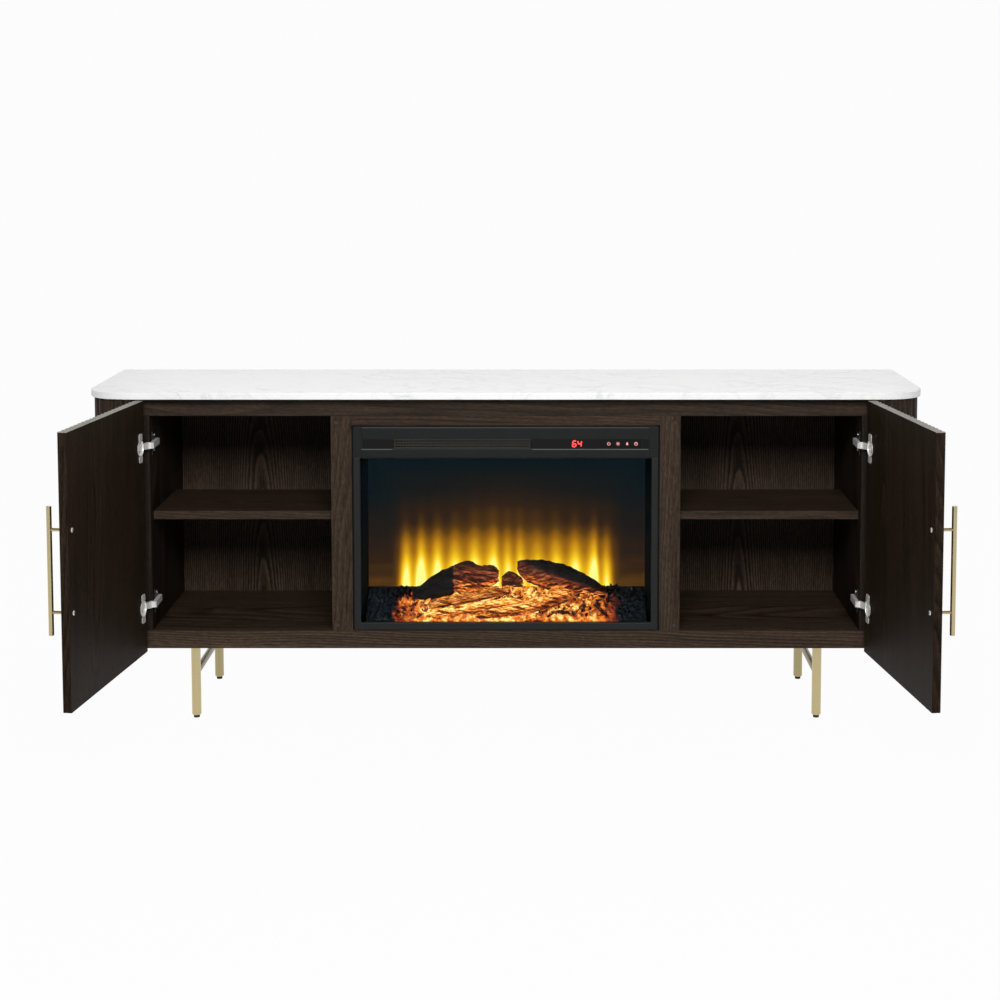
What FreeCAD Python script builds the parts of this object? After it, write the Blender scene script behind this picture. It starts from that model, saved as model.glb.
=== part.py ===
import FreeCAD, Part
import os
import re
from math import cos, pi, sin

import Sketcher
from FreeCAD import Rotation, Vector

# Sideboard with a stone top, two reeded doors, a tubular base and an electric fireplace.
# Lengths are millimetres and angles degrees. X runs along the front to the right, Y to the back,
# Z up from the floor. In the sizes below Y counts from the front of the face frame, and the
# whole piece is then moved so that its origin is the middle of its footprint with the doors open.

doc = FreeCAD.newDocument("sideboard")

SIZES = {
    # Stone top
    "slab_length": 1778.0,
    "slab_depth": 400.0,
    "slab_thickness": 15.0,
    "slab_overhang": 7.0,
    "slab_corner": 86.0,
    "slab_back_corner": 12.0,
    "slab_edge": 1.5,
    # Height of the body off the floor
    "leg_height": 162.0,
    # Face frame
    "frame_thickness": 20.0,
    "rail_height": 38.5,
    "header_height": 20.7,
    "inner_stile_width": 44.4,
    "outer_stile_width": 44.0,
    # Boards behind the face frame
    "body_depth": 390.0,
    "panel_thickness": 18.0,
    "upright_thickness": 16.0,
    "back_thickness": 6.0,
    "glue_gap": 0.3,
    # Shelf and its pins
    "shelf_thickness": 18.0,
    "shelf_depth": 250.0,
    "shelf_setback": 2.0,
    "shelf_height": 255.5,
    "shelf_gap": 1.0,
    "pin_radius": 2.5,
    "pin_reach": 8.0,
    "pin_inset": 36.0,
    "pin_fit": 0.05,
    # Reeding on the ends and doors
    "rib_height": 4.0,
    "body_corner": 76.0,
    "strip_width": 20.65,
    # Doors
    "door_thickness": 20.0,
    "door_back_gap": 2.0,
    "door_top_gap": 2.5,
    "door_side_gap": 2.5,
    "door_overlay": 26.85,
    "door_open_angle": 97.16,
    # Handle
    "handle_radius": 5.0,
    "handle_length": 250.0,
    "handle_spacing": 160.0,
    "handle_inset": 20.0,
    "handle_reach": 24.8,
    "post_radius": 3.2,
    "post_seat": 6.0,
    "post_fit": 0.2,
    "handle_edge": 0.8,
    "handle_screw_bite": 9.0,
    # Concealed hinges
    "cup_radius": 17.5,
    "cup_depth": 11.5,
    "cup_wall": 1.0,
    "cup_inset": 22.5,
    "cup_fit": 0.1,
    "flange_height": 62.0,
    "flange_width": 20.0,
    "flange_thickness": 1.2,
    "hinge_end_distance": 98.0,
    "hinge_plate_height": 50.0,
    "hinge_plate_depth": 38.0,
    "hinge_plate_thickness": 2.0,
    "hinge_plate_screws": 32.0,
    "arm_thickness": 8.0,
    "arm_height": 13.0,
    "arm_tip_reach": 9.0,
    "arm_tip_shift": 3.0,
    # Rubber door stops
    "stop_radius": 4.0,
    "stop_height": 1.8,
    "stop_inset": 12.0,
    # Tubular base
    "leg_radius": 10.0,
    "leg_wall": 1.5,
    "leg_round": 3.0,
    "leg_cap": 4.0,
    "leg_end_inset": 217.0,
    "leg_front": 38.5,
    "leg_spacing": 293.0,
    "stretcher_radius": 7.5,
    "stretcher_height": 98.0,
    "weld_gap": 0.05,
    "glide_height": 5.5,
    "glide_radius": 6.5,
    "glide_stem_radius": 3.0,
    "glide_stem_length": 9.0,
    "glide_fit": 0.05,
    "leg_plate_length": 90.0,
    "leg_plate_depth": 36.0,
    "leg_plate_thickness": 3.0,
    "leg_screw_spacing": 66.0,
    "leg_screw_depth_spacing": 20.0,
    # Screws
    "screw_head_radius": 4.0,
    "screw_head_height": 2.0,
    "screw_radius": 2.0,
    "screw_length": 13.0,
    "screw_fit": 0.05,
    # Fireplace insert, seen from the front
    "insert_width": 648.5,
    "insert_height": 440.0,
    "insert_lift": 0.9,
    "insert_top_gap": 2.4,
    "insert_side_gap": 3.05,
    "insert_setback": 2.0,
    "trim_side": 14.0,
    "trim_bottom": 15.8,
    "trim_depth": 10.0,
    "fascia_height": 67.0,
    "band_height": 22.4,
    "band_end": 21.25,
    "band_depth": 2.0,
    "band_rise": 18.7,
    "grille_inset": 62.0,
    "grille_gap": 83.9,
    "grille_height": 20.4,
    "grille_thickness": 1.5,
    "grille_hole": 3.4,
    "grille_row_pitch": 5.6,
    "grille_column_pitch": 5.85,
    "grille_margin": 6.0,
    "display_inset": 163.6,
    "display_width": 24.0,
    "display_height": 14.0,
    "display_thickness": 3.0,
    "touch_inset": 101.0,
    "touch_width": 85.0,
    "touch_height": 18.0,
    "glass_thickness": 4.0,
    "glass_lap": 5.0,
    # Fireplace insert, behind the front
    "case_inset": 7.25,
    "case_depth": 140.0,
    "case_wall": 1.5,
    "screen_place": 100.0,
    "liner_slant": 13.5,
    "screen_thickness": 3.0,
    "liner_thickness": 2.0,
    "bed_front_height": 20.0,
    "bed_middle_height": 48.0,
    "bed_back_height": 75.0,
    "bed_front": 3.0,
    "bed_wall": 3.0,
    "bed_depth": 78.0,
    # Flame spindle and the lights
    "spindle_radius": 3.0,
    "spindle_height": 62.0,
    "spindle_place": 24.0,
    "vane_reach": 15.0,
    "vane_width": 14.0,
    "vane_thickness": 0.8,
    "bush_radius": 9.0,
    "bush_length": 12.0,
    "shaft_fit": 0.05,
    "shaft_bite": 6.0,
    "motor_radius": 20.0,
    "motor_length": 15.0,
    "light_end": 22.0,
    "light_width": 12.0,
    "light_thickness": 1.6,
    "lamp_radius": 2.5,
    "lamp_height": 1.6,
    # Blower and heater
    "rotor_radius": 17.0,
    "rotor_end": 18.25,
    "rotor_disc": 1.2,
    "blade_width": 5.0,
    "blade_thickness": 1.0,
    "rotor_place": 62.0,
    "housing_gap": 3.0,
    "housing_wall": 1.5,
    "heater_depth": 12.0,
    "heater_margin": 6.0,
    "heater_fin": 4.0,
    "heater_gap": 6.0,
    # Electronics and cord inlet
    "circuit_overhang": 9.4,
    "circuit_width": 150.0,
    "circuit_height": 40.0,
    "circuit_thickness": 1.6,
    "circuit_setback": 10.0,
    "relay_length": 20.0,
    "relay_height": 16.0,
    "relay_depth": 12.0,
    "inlet_radius": 8.0,
    "inlet_bore": 3.6,
    "inlet_flange": 11.0,
    "inlet_flange_thickness": 3.0,
    "inlet_length": 8.0,
    "inlet_inset": 65.5,
    "inlet_rise": 24.0,
    # Logs
    "log_girth": 19.0,
}

# How many times each repeated shape occurs.
COUNTS = {
    "door_rib_count": 21,
    "side_rib_count": 15,
    "corner_rib_count": 5,
    "blade_count": 18,
    "vane_count": 5,
    "heater_slot_count": 14,
    "lamp_count": 14,
}

# Places and sizes that follow from the ones above.
PLACES = {
    "body_half": "slab_length / 2 - slab_overhang",
    "opening_floor": "leg_height + rail_height",
    "insert_floor": "opening_floor + insert_lift",
    "insert_top": "insert_floor + insert_height",
    "opening_top": "insert_top + insert_top_gap + header_height",
    "opening_height": "opening_top - opening_floor",
    "body_top": "opening_top + rail_height",
    "body_height": "body_top - leg_height",
    "crest": "-(door_thickness + door_back_gap)",
    "groove": "crest + rib_height",
    "slab_front": "crest - slab_overhang",
    "slab_back": "slab_front + slab_depth",
    "back_outer": "crest + body_depth",
    "back_inner": "back_outer - back_thickness",
    "corner_x": "body_half - body_corner",
    "corner_y": "crest + body_corner",
    "groove_radius": "body_corner - rib_height",
    "shell_radius": "body_corner + crest",
    "shell_half": "body_half + crest",
    "panel_half": "shell_half - glue_gap",
    "panel_corner": "shell_radius - glue_gap",
    "strip_x": "corner_x - strip_width",
    "hinge_x": "strip_x - door_side_gap",
    "hearth_half": "insert_width / 2 + insert_side_gap",
    "cupboard_inner": "hearth_half + inner_stile_width",
    "cupboard_outer": "hinge_x - door_overlay",
    "cupboard_opening": "cupboard_outer - cupboard_inner",
    "frame_half": "cupboard_outer + outer_stile_width",
    "floor_under": "opening_floor - panel_thickness",
    "upright_top": "body_top - panel_thickness",
    "upright_depth": "back_inner - frame_thickness",
    "shelf_front": "frame_thickness + shelf_setback",
    "shelf_under": "opening_floor + shelf_height - shelf_thickness",
    "door_width": "cupboard_opening + 2 * door_overlay",
    "door_height": "body_height - door_top_gap",
    "door_middle": "leg_height + door_height / 2",
    "board_thickness": "door_thickness - rib_height",
    "door_pitch": "door_width / door_rib_count",
    "side_pitch": "(back_outer - corner_y) / side_rib_count",
    "corner_step": "90 / corner_rib_count",
    "corner_chord": "2 * groove_radius * sin(corner_step / 2)",
    "corner_rise": "body_corner - groove_radius * cos(corner_step / 2)",
    "door_reach": "door_width * sin(door_open_angle) - door_thickness * cos(door_open_angle) - crest",
    "front_y": "(door_reach - slab_back) / 2",
    "handle_x": "door_width - handle_inset",
    "hinge_plate_back": "frame_thickness + hinge_plate_depth",
    "arm_x": "cupboard_outer - hinge_plate_thickness",
    "lower_hinge": "leg_height + hinge_end_distance",
    "upper_hinge": "leg_height + door_height - hinge_end_distance",
    "leg_place": "slab_length / 2 - leg_end_inset",
    "leg_back": "leg_front + leg_spacing",
    "leg_top": "floor_under - leg_plate_thickness",
    "insert_back": "insert_setback + trim_depth",
    "fascia_under": "insert_top - fascia_height",
    "band_floor": "insert_setback + band_depth",
    "band_under": "fascia_under + band_rise",
    "band_middle": "band_under + band_height / 2",
    "band_half": "insert_width / 2 - band_end",
    "grille_left": "band_half - grille_inset",
    "display_left": "band_half - display_inset",
    "touch_left": "band_half - touch_inset",
    "grille_width": "grille_left + display_left - grille_gap",
    "case_half": "insert_width / 2 - case_inset",
    "case_back": "insert_back + case_depth",
    "case_inside": "case_half - case_wall",
    "hearth_floor": "opening_floor + case_wall",
    "case_top": "insert_top - case_wall",
    "screen_back": "screen_place + screen_thickness",
    "glass_back": "insert_back + glass_thickness",
    "bed_start": "glass_back + bed_front",
    "bed_end": "bed_start + bed_depth",
    "spindle_y": "screen_back + spindle_place",
    "spindle_z": "hearth_floor + spindle_height",
    "firebox_top": "fascia_under + glass_lap + case_wall",
    "firebox_height": "firebox_top - hearth_floor",
    "blower_floor": "firebox_top + case_wall",
    "screen_half": "case_inside - liner_slant",
    "screen_width": "2 * screen_half",
    "light_length": "screen_width - 2 * light_end",
    "glass_half": "insert_width / 2 - trim_side + glass_lap",
    "grille_run": "grille_width - 2 * grille_margin - grille_hole",
    "grille_columns": "floor(grille_run / grille_column_pitch) + 1",
    "spindle_start": "glue_gap - case_inside",
    "spindle_length": "2 * case_inside - glue_gap - motor_length + shaft_bite",
    "vane_pitch": "light_length / (4 * vane_count)",
    "lamp_pitch": "light_length / lamp_count",
    "rotor_y": "insert_back + rotor_place",
    "rotor_middle": "grille_width / 2 - grille_left",
    "rotor_length": "grille_width - 2 * rotor_end",
    "housing_radius": "rotor_radius + housing_gap",
    "housing_outer": "housing_radius + housing_wall",
    "housing_half": "rotor_length / 2 + housing_gap + housing_wall",
    "rotor_z": "blower_floor + housing_outer",
    "circuit_left": "display_left - circuit_overhang",
    "inlet_place": "case_inside - inlet_inset",
    "heater_front": "insert_back + heater_gap",
    "heater_back": "heater_front + heater_depth",
    "heater_pitch": "(2 * housing_half - 2 * heater_margin) / heater_slot_count",
}

SIDES = (("left", -1), ("right", 1))


def formula(text):
    """Point each bare name in a formula at the sheet that holds it."""
    def place(match):
        word = match.group(0)
        if word in PLACES:
            return "places." + word
        if word in SIZES or word in COUNTS:
            return "sizes." + word
        return word
    return re.sub(r"[a-z][a-z_]*", place, str(text))


def number(text):
    """Work out a formula's present value."""
    value = places.evalExpression(formula(text))
    return getattr(value, "Value", value)


def fill(sheet, cells):
    """Write one named value on each row of a sheet."""
    for row, (name, text) in enumerate(cells, start=1):
        sheet.set(f"A{row}", name)
        sheet.set(f"B{row}", text)
        sheet.setAlias(f"B{row}", name)


sizes = doc.addObject("Spreadsheet::Sheet", "sizes")
fill(sizes, [(name, str(value)) for name, value in {**SIZES, **COUNTS}.items()])
doc.recompute()
places = doc.addObject("Spreadsheet::Sheet", "places")
fill(places, [(name, "=" + formula(text)) for name, text in PLACES.items()])
doc.recompute()

NODES = []


def node(item, label):
    """Name an object as one of the pieces that are written out."""
    item.Label = label
    NODES.append(item)
    return item


def bind(item, **formulas):
    """Tie properties to formulas; two underscores in a name stand for a dot."""
    for name, text in formulas.items():
        item.setExpression(name.replace("__", "."), formula(text))
    return item


def move(item, x=0, y=0, z=0):
    """Place an object by its distances from the face frame's middle and the floor."""
    return bind(
        item, Placement__Base__x=x, Placement__Base__y=f"front_y + {y}", Placement__Base__z=z
    )


def on_door(item, sign):
    """Place an object drawn for the closed door on the door as it stands open."""
    item.Placement.Rotation = Rotation(Vector(0, 0, sign), number("door_open_angle"))
    bind(item, Placement__Rotation__Angle="door_open_angle")
    return move(item, f"{sign} * hinge_x", "crest")


def block(name, x, y, z, length, depth, height):
    """Make a board from its lowest corner and its three sizes."""
    item = bind(doc.addObject("Part::Box", name), Length=length, Width=depth, Height=height)
    return move(item, x, f"({y})", z)


def rod(name, axis, radius, length, x, y, z):
    """Make a plain round bar that starts at a point and runs along an axis."""
    item = bind(doc.addObject("Part::Cylinder", name), Radius=radius, Height=length)
    item.Placement.Rotation = Rotation(Vector(0, 0, 1), axis)
    return bind(item, Placement__Base__x=x, Placement__Base__y=y, Placement__Base__z=z)


def group(name, items):
    """Hold several separate solids together as one object."""
    item = doc.addObject("Part::Compound", name)
    item.Links = items
    return item


def cut(name, base, tools):
    """Take the shapes of the tools out of a solid."""
    item = doc.addObject("Part::Cut", name)
    item.Base = base
    item.Tool = group(name + "_drills", tools)
    return item


def copies(name, master, spots, axis=Vector(0, 0, 1)):
    """Repeat a solid at several spots, its own Z turned to the given axis."""
    links = []
    for count, (x, y, z) in enumerate(spots):
        link = doc.addObject("App::Link", f"{name}_{count}")
        link.LinkedObject = master
        link.Placement.Rotation = Rotation(Vector(0, 0, 1), axis)
        bind(link, Placement__Base__x=x, Placement__Base__y=y, Placement__Base__z=z)
        links.append(link)
    return group(name, links)


def sketch(body, name, plane="XY_Plane", x=0, y=0, z=0):
    """Start a drawing on one of the body's own planes, shifted within and off the plane."""
    drawing = body.newObject("Sketcher::SketchObject", name)
    support = next(item for item in body.Origin.OriginFeatures if item.Role == plane)
    drawing.AttachmentSupport = (support, [""])
    drawing.MapMode = "FlatFace"
    bind(
        drawing, AttachmentOffset__Base__x=x, AttachmentOffset__Base__y=y, AttachmentOffset__Base__z=z
    )
    return drawing


def fix(drawing, edge, point, x, y):
    """Hold a point of a drawing at formulas for its two coordinates."""
    for kind, axis, text in (("DistanceX", -2, x), ("DistanceY", -1, y)):
        if str(text) == "0":
            drawing.addConstraint(Sketcher.Constraint("PointOnObject", edge, point, axis))
            continue
        held = drawing.addConstraint(Sketcher.Constraint(kind, -1, 1, edge, point, number(text)))
        drawing.setExpression(f"Constraints[{held}]", formula(text))


def outline(drawing, corners):
    """Close a loop; a corner with a middle point and a radius starts an arc."""
    ends = []
    for corner, after in zip(corners, corners[1:] + corners[:1]):
        start = Vector(number(corner[0]), number(corner[1]), 0)
        end = Vector(number(after[0]), number(after[1]), 0)
        if len(corner) == 2:
            edge = drawing.addGeometry(Part.LineSegment(start, end), False)
        else:
            middle = Vector(number(corner[2]), number(corner[3]), 0)
            edge = drawing.addGeometry(Part.Arc(start, middle, end), False)
        first = min((1, 2), key=lambda point: (drawing.getPoint(edge, point) - start).Length)
        ends.append((edge, first, 3 - first))
    for corner, (edge, first, _), (before, _, last) in zip(corners, ends, ends[-1:] + ends[:-1]):
        drawing.addConstraint(Sketcher.Constraint("Coincident", before, last, edge, first))
        fix(drawing, edge, first, corner[0], corner[1])
        if len(corner) > 2:
            radius = drawing.Geometry[edge].Radius
            held = drawing.addConstraint(Sketcher.Constraint("Radius", edge, radius))
            drawing.setExpression(f"Constraints[{held}]", formula(corner[4]))


def frame(drawing, left, low, right, high):
    """Draw an upright rectangle from its four limits."""
    outline(drawing, [(left, low), (right, low), (right, high), (left, high)])


def ring(drawing, x, y, radius):
    """Draw a circle."""
    centre = Vector(number(x), number(y), 0)
    edge = drawing.addGeometry(Part.Circle(centre, Vector(0, 0, 1), number(radius)), False)
    fix(drawing, edge, 3, x, y)
    held = drawing.addConstraint(Sketcher.Constraint("Radius", edge, number(radius)))
    drawing.setExpression(f"Constraints[{held}]", formula(radius))


def body_of(name):
    """Start a piece that is built up from drawings."""
    return doc.addObject("PartDesign::Body", name)


def pad(body, drawing, length, back=False):
    """Raise a drawing into solid, along its plane's normal or away from it."""
    feature = body.newObject("PartDesign::Pad", drawing.Name + "_pad")
    feature.Profile = drawing
    feature.Reversed = back
    bind(feature, Length=length)
    drawing.Visibility = False
    doc.recompute()
    return feature


def pocket(body, drawing, depth, back=False):
    """Sink a drawing into the solid and make sure that it takes something away."""
    before = body.Shape.Volume
    feature = body.newObject("PartDesign::Pocket", drawing.Name + "_pocket")
    feature.Profile = drawing
    feature.Reversed = back
    bind(feature, Length=depth)
    doc.recompute()
    if body.Shape.Volume >= before:
        raise ValueError(f"{feature.Name} removes nothing")
    return feature


def turn(body, drawing):
    """Spin a drawing round its own upright axis."""
    feature = body.newObject("PartDesign::Revolution", drawing.Name + "_turn")
    feature.Profile = drawing
    feature.ReferenceAxis = (drawing, ["V_Axis"])
    doc.recompute()
    return feature


def row(body, feature, drawing, axis, length, count, back=False):
    """Repeat a feature along one of its drawing's axes."""
    pattern = body.newObject("PartDesign::LinearPattern", feature.Name + "_row")
    pattern.Originals = [feature]
    pattern.Direction = (drawing, [axis])
    pattern.Reversed = back
    bind(pattern, Length=length, Occurrences=count)
    body.Tip = pattern
    doc.recompute()
    return pattern


def wheel(body, feature, drawing, angle, count, back=False):
    """Repeat a feature round its drawing's normal."""
    pattern = body.newObject("PartDesign::PolarPattern", feature.Name + "_wheel")
    pattern.Originals = [feature]
    pattern.Axis = (drawing, ["N_Axis"])
    pattern.Reversed = back
    bind(pattern, Angle=angle, Occurrences=count)
    body.Tip = pattern
    doc.recompute()
    return pattern


def soften(body, name, radius, wanted):
    """Round the edges of the present solid that a test picks."""
    tip = body.Tip
    edges = [f"Edge{count}" for count, edge in enumerate(tip.Shape.Edges, start=1) if wanted(edge)]
    feature = body.newObject("PartDesign::Fillet", name)
    feature.Base = (tip, edges)
    bind(feature, Radius=radius)
    doc.recompute()
    return feature


def upright(edge, y_test=None):
    """Say whether an edge stands upright, and lies where the test wants it."""
    ends = [vertex.Point for vertex in edge.Vertexes]
    if len(ends) != 2 or (ends[0] - ends[1]).cross(Vector(0, 0, 1)).Length > number("glue_gap"):
        return False
    return not y_test or y_test(ends[0].y)


def level(edge):
    """Say whether an edge lies flat."""
    return edge.BoundBox.ZLength < number("glue_gap")


# Stone top: one slab with round front corners and eased edges.
slab = node(body_of("slab"), "top_slab")
drawing = sketch(slab, "slab_plan", z="body_top")
frame(drawing, "-slab_length / 2", "slab_front", "slab_length / 2", "slab_back")
pad(slab, drawing, "slab_thickness")
soften(slab, "slab_front_corners", "slab_corner", lambda e: upright(e, y_test=lambda y: y < 0))
soften(
    slab, "slab_back_corners", "slab_back_corner",
    lambda e: upright(e, y_test=lambda y: y > number("corner_y")),
)
soften(slab, "slab_eased_edges", "slab_edge", level)
move(slab)


# Face frame: rails run through, stiles stand between them.
def frame_rail(label, bottom, height, half):
    """Make a cross piece of the face frame."""
    board = block(label, f"-{half}", 0, bottom, f"2 * {half}", "frame_thickness", height)
    node(board, label)


def frame_stile(label, sign, inner, width):
    """Make an upright of the face frame, from its edge nearer the middle."""
    middle = f"{sign} * ({inner} + {width} / 2) - {width} / 2"
    node(block(label, middle, 0, "opening_floor", width, "frame_thickness", "opening_height"), label)


frame_rail("top_rail", "opening_top", "rail_height", "frame_half")
frame_rail("bottom_rail", "leg_height", "rail_height", "frame_half")
frame_rail("fireplace_header_rail", "opening_top - header_height", "header_height", "hearth_half")
for side, sign in SIDES:
    frame_stile(f"{side}_outer_stile", sign, "cupboard_outer", "outer_stile_width")
    frame_stile(f"{side}_inner_stile", sign, "hearth_half", "inner_stile_width")

LEG_SPOTS = [
    (f"{sign} * leg_place", depth) for _, sign in SIDES for depth in ("leg_front", "leg_back")
]
LEG_SCREW_SPOTS = [
    (f"{x} + {dx} * leg_screw_spacing / 2", f"{y} + {dy} * leg_screw_depth_spacing / 2")
    for x, y in LEG_SPOTS for dx in (-1, 1) for dy in (-1, 1)
]


# Top and bottom boards: behind the frame, with corners that follow the reeded ends.
def long_board(label, bottom):
    """Make a board that fills the body from end to end."""
    board = node(body_of(label), label)
    plan = sketch(board, label + "_plan", z=bottom)
    frame(plan, "-panel_half", "glue_gap", "panel_half", "back_inner")
    pad(board, plan, "panel_thickness")
    soften(
        board, label + "_corners", "panel_corner",
        lambda e: upright(e, y_test=lambda y: y < number("corner_y")),
    )
    front = sketch(board, label + "_front", z=bottom)
    frame(front, "-panel_half", "-glue_gap", "panel_half", "frame_thickness")
    pocket(board, front, "panel_thickness", back=True)
    return move(board)


long_board("cabinet_top_panel", "upright_top")
floor_board = long_board("bottom_panel", "floor_under")
pilots = sketch(floor_board, "leg_pilots", z="floor_under")
for x, y in LEG_SCREW_SPOTS:
    ring(pilots, x, y, "screw_radius + screw_fit")
pocket(floor_board, pilots, "screw_length", back=True)

HINGE_LEVELS = ("lower_hinge", "upper_hinge")
HINGE_SCREW_LEVELS = [
    f"{level_name} + {step} * hinge_plate_screws / 2" for level_name in HINGE_LEVELS for step in (-1, 1)
]
HINGE_SCREW_Y = "frame_thickness + hinge_plate_depth / 2"
PIN_LEVEL = "shelf_under - pin_radius"
PIN_DEPTHS = ("shelf_front + pin_inset", "shelf_front + shelf_depth - pin_inset")


# Uprights: each cupboard lies between a side panel and a partition, drilled for shelf pins.
def upright_board(label, sign, face, toward, with_hinges):
    """Make an upright whose face at a distance from the middle looks into the cupboard."""
    middle = f"{sign} * ({face} - {toward} * upright_thickness / 2) - upright_thickness / 2"
    board = block(
        label + "_board", middle, "frame_thickness", "opening_floor",
        "upright_thickness", "upright_depth", "upright_top - opening_floor",
    )
    away = Vector(-sign * toward, 0, 0)
    drills = [
        rod(
            f"{label}_pin_hole_{count}", away, "pin_radius + pin_fit", "pin_reach",
            f"{sign} * {face}", f"front_y + {depth}", PIN_LEVEL,
        )
        for count, depth in enumerate(PIN_DEPTHS)
    ]
    if with_hinges:
        drills += [
            rod(
                f"{label}_screw_hole_{count}", away, "screw_radius + screw_fit", "screw_length",
                f"{sign} * {face}", f"front_y + {HINGE_SCREW_Y}", height,
            )
            for count, height in enumerate(HINGE_SCREW_LEVELS)
        ]
    node(cut(label, board, drills), label)


for side, sign in SIDES:
    upright_board(f"{side}_side_panel", sign, "cupboard_outer", -1, True)
    upright_board(f"{side}_partition", sign, "cupboard_inner", 1, False)
    back_width = "(panel_half - cupboard_inner + upright_thickness)"
    back_inner_edge = "cupboard_inner - upright_thickness"
    back = block(
        f"{side}_back_panel", f"{sign} * ({back_inner_edge} + {back_width} / 2) - {back_width} / 2",
        "back_inner", "floor_under", back_width, "back_thickness", "body_top - floor_under",
    )
    node(back, f"{side}_back_panel")
    shelf_width = "(cupboard_opening - 2 * shelf_gap)"
    shelf = block(
        f"{side}_shelf",
        f"{sign} * (cupboard_inner + cupboard_opening / 2) - {shelf_width} / 2", "shelf_front",
        "shelf_under", shelf_width, "shelf_depth", "shelf_thickness",
    )
    node(shelf, f"{side}_shelf")

pins = []
for side, sign in SIDES:
    for face, toward in (("cupboard_outer", -1), ("cupboard_inner", 1)):
        for depth in PIN_DEPTHS:
            start = f"{sign} * ({face} - {toward} * pin_reach)"
            pins.append(
                rod(
                    f"pin_{len(pins)}", Vector(sign * toward, 0, 0), "pin_radius", "2 * pin_reach",
                    start, f"front_y + {depth}", PIN_LEVEL,
                )
            )
node(group("shelf_pins", pins), "shelf_pins")


# Reeded ends: a bent shell from the door's edge, round the corner and along the side.
def rib_radius(chord, rise):
    """Give the radius of an arc from its chord and its height."""
    return f"(({chord})^2 / (8 * {rise}) + {rise} / 2)"


def reeded_end(side, sign):
    """Make one end of the body."""
    end = node(body_of(f"{side}_end"), f"{side}_reeded_end")
    plan = sketch(end, f"{side}_end_plan", z="leg_height")
    half_turn = "sin(45)"
    outer_middle = (
        f"{sign} * (corner_x + groove_radius * {half_turn})",
        f"corner_y - groove_radius * {half_turn}",
    )
    inner_middle = (
        f"{sign} * (corner_x + shell_radius * {half_turn})",
        f"corner_y - shell_radius * {half_turn}",
    )
    outline(plan, [
        (f"{sign} * strip_x", "groove"),
        (f"{sign} * corner_x", "groove", *outer_middle, "groove_radius"),
        (f"{sign} * (corner_x + groove_radius)", "corner_y"),
        (f"{sign} * (corner_x + groove_radius)", "back_outer"),
        (f"{sign} * shell_half", "back_outer"),
        (f"{sign} * shell_half", "corner_y", *inner_middle, "shell_radius"),
        (f"{sign} * corner_x", 0),
        (f"{sign} * strip_x", 0),
    ])
    pad(end, plan, "body_height")
    strip = sketch(end, f"{side}_strip_rib", z="leg_height")
    outline(strip, [
        (
            f"{sign} * strip_x", "groove", f"{sign} * (strip_x + strip_width / 2)", "crest",
            rib_radius("strip_width", "rib_height"),
        ),
        (f"{sign} * corner_x", "groove"),
    ])
    pad(end, strip, "body_height")
    bend = sketch(end, f"{side}_corner_rib", x=f"{sign} * corner_x", y="corner_y", z="leg_height")
    outline(bend, [
        (
            0, "-groove_radius", f"{sign} * body_corner * sin(corner_step / 2)",
            "-body_corner * cos(corner_step / 2)", rib_radius("corner_chord", "corner_rise"),
        ),
        (f"{sign} * groove_radius * sin(corner_step)", "-groove_radius * cos(corner_step)"),
    ])
    first = pad(end, bend, "body_height")
    wheel(end, first, bend, "90 - corner_step", "corner_rib_count", back=sign < 0)
    flank = sketch(end, f"{side}_side_rib", z="leg_height")
    outline(flank, [
        (
            f"{sign} * (body_half - rib_height)", "corner_y", f"{sign} * body_half",
            "corner_y + side_pitch / 2", rib_radius("side_pitch", "rib_height"),
        ),
        (f"{sign} * (body_half - rib_height)", "corner_y + side_pitch"),
    ])
    first = pad(end, flank, "body_height")
    row(end, first, flank, "V_Axis", "side_pitch * (side_rib_count - 1)", "side_rib_count")
    move(end)


# Doors: a board with a row of ribs, drawn closed with the hinge corner at the origin.
POST_LEVELS = ("door_middle - handle_spacing / 2", "door_middle + handle_spacing / 2")


def door_panel(side, sign):
    """Make one door with the seats for its hinge cups and handle."""
    door = node(body_of(f"{side}_door"), f"{side}_door_panel")
    plan = sketch(door, f"{side}_door_plan", z="leg_height")
    frame(plan, f"-{sign} * door_width", "rib_height", 0, "door_thickness")
    pad(door, plan, "door_height")
    rib = sketch(door, f"{side}_door_rib", z="leg_height")
    outline(rib, [
        (
            0, "rib_height", f"-{sign} * door_pitch / 2", 0,
            rib_radius("door_pitch", "rib_height"),
        ),
        (f"-{sign} * door_pitch", "rib_height"),
    ])
    first = pad(door, rib, "door_height")
    row(
        door, first, rib, "H_Axis", "door_pitch * (door_rib_count - 1)", "door_rib_count",
        back=sign > 0,
    )
    cups = sketch(door, f"{side}_cup_seats", "XZ_Plane", z="-door_thickness")
    for height in HINGE_LEVELS:
        ring(cups, f"-{sign} * cup_inset", height, "cup_radius + cup_fit")
    pocket(door, cups, "cup_depth + cup_fit", back=True)
    seats = sketch(door, f"{side}_post_seats", "XZ_Plane")
    for height in POST_LEVELS:
        ring(seats, f"-{sign} * handle_x", height, "post_radius + post_fit")
    pocket(door, seats, "post_seat")
    bores = sketch(door, f"{side}_handle_screw_bores", "XZ_Plane")
    for height in POST_LEVELS:
        ring(bores, f"-{sign} * handle_x", height, "screw_radius + screw_fit")
    pocket(door, bores, "door_thickness")
    on_door(door, sign)


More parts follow.
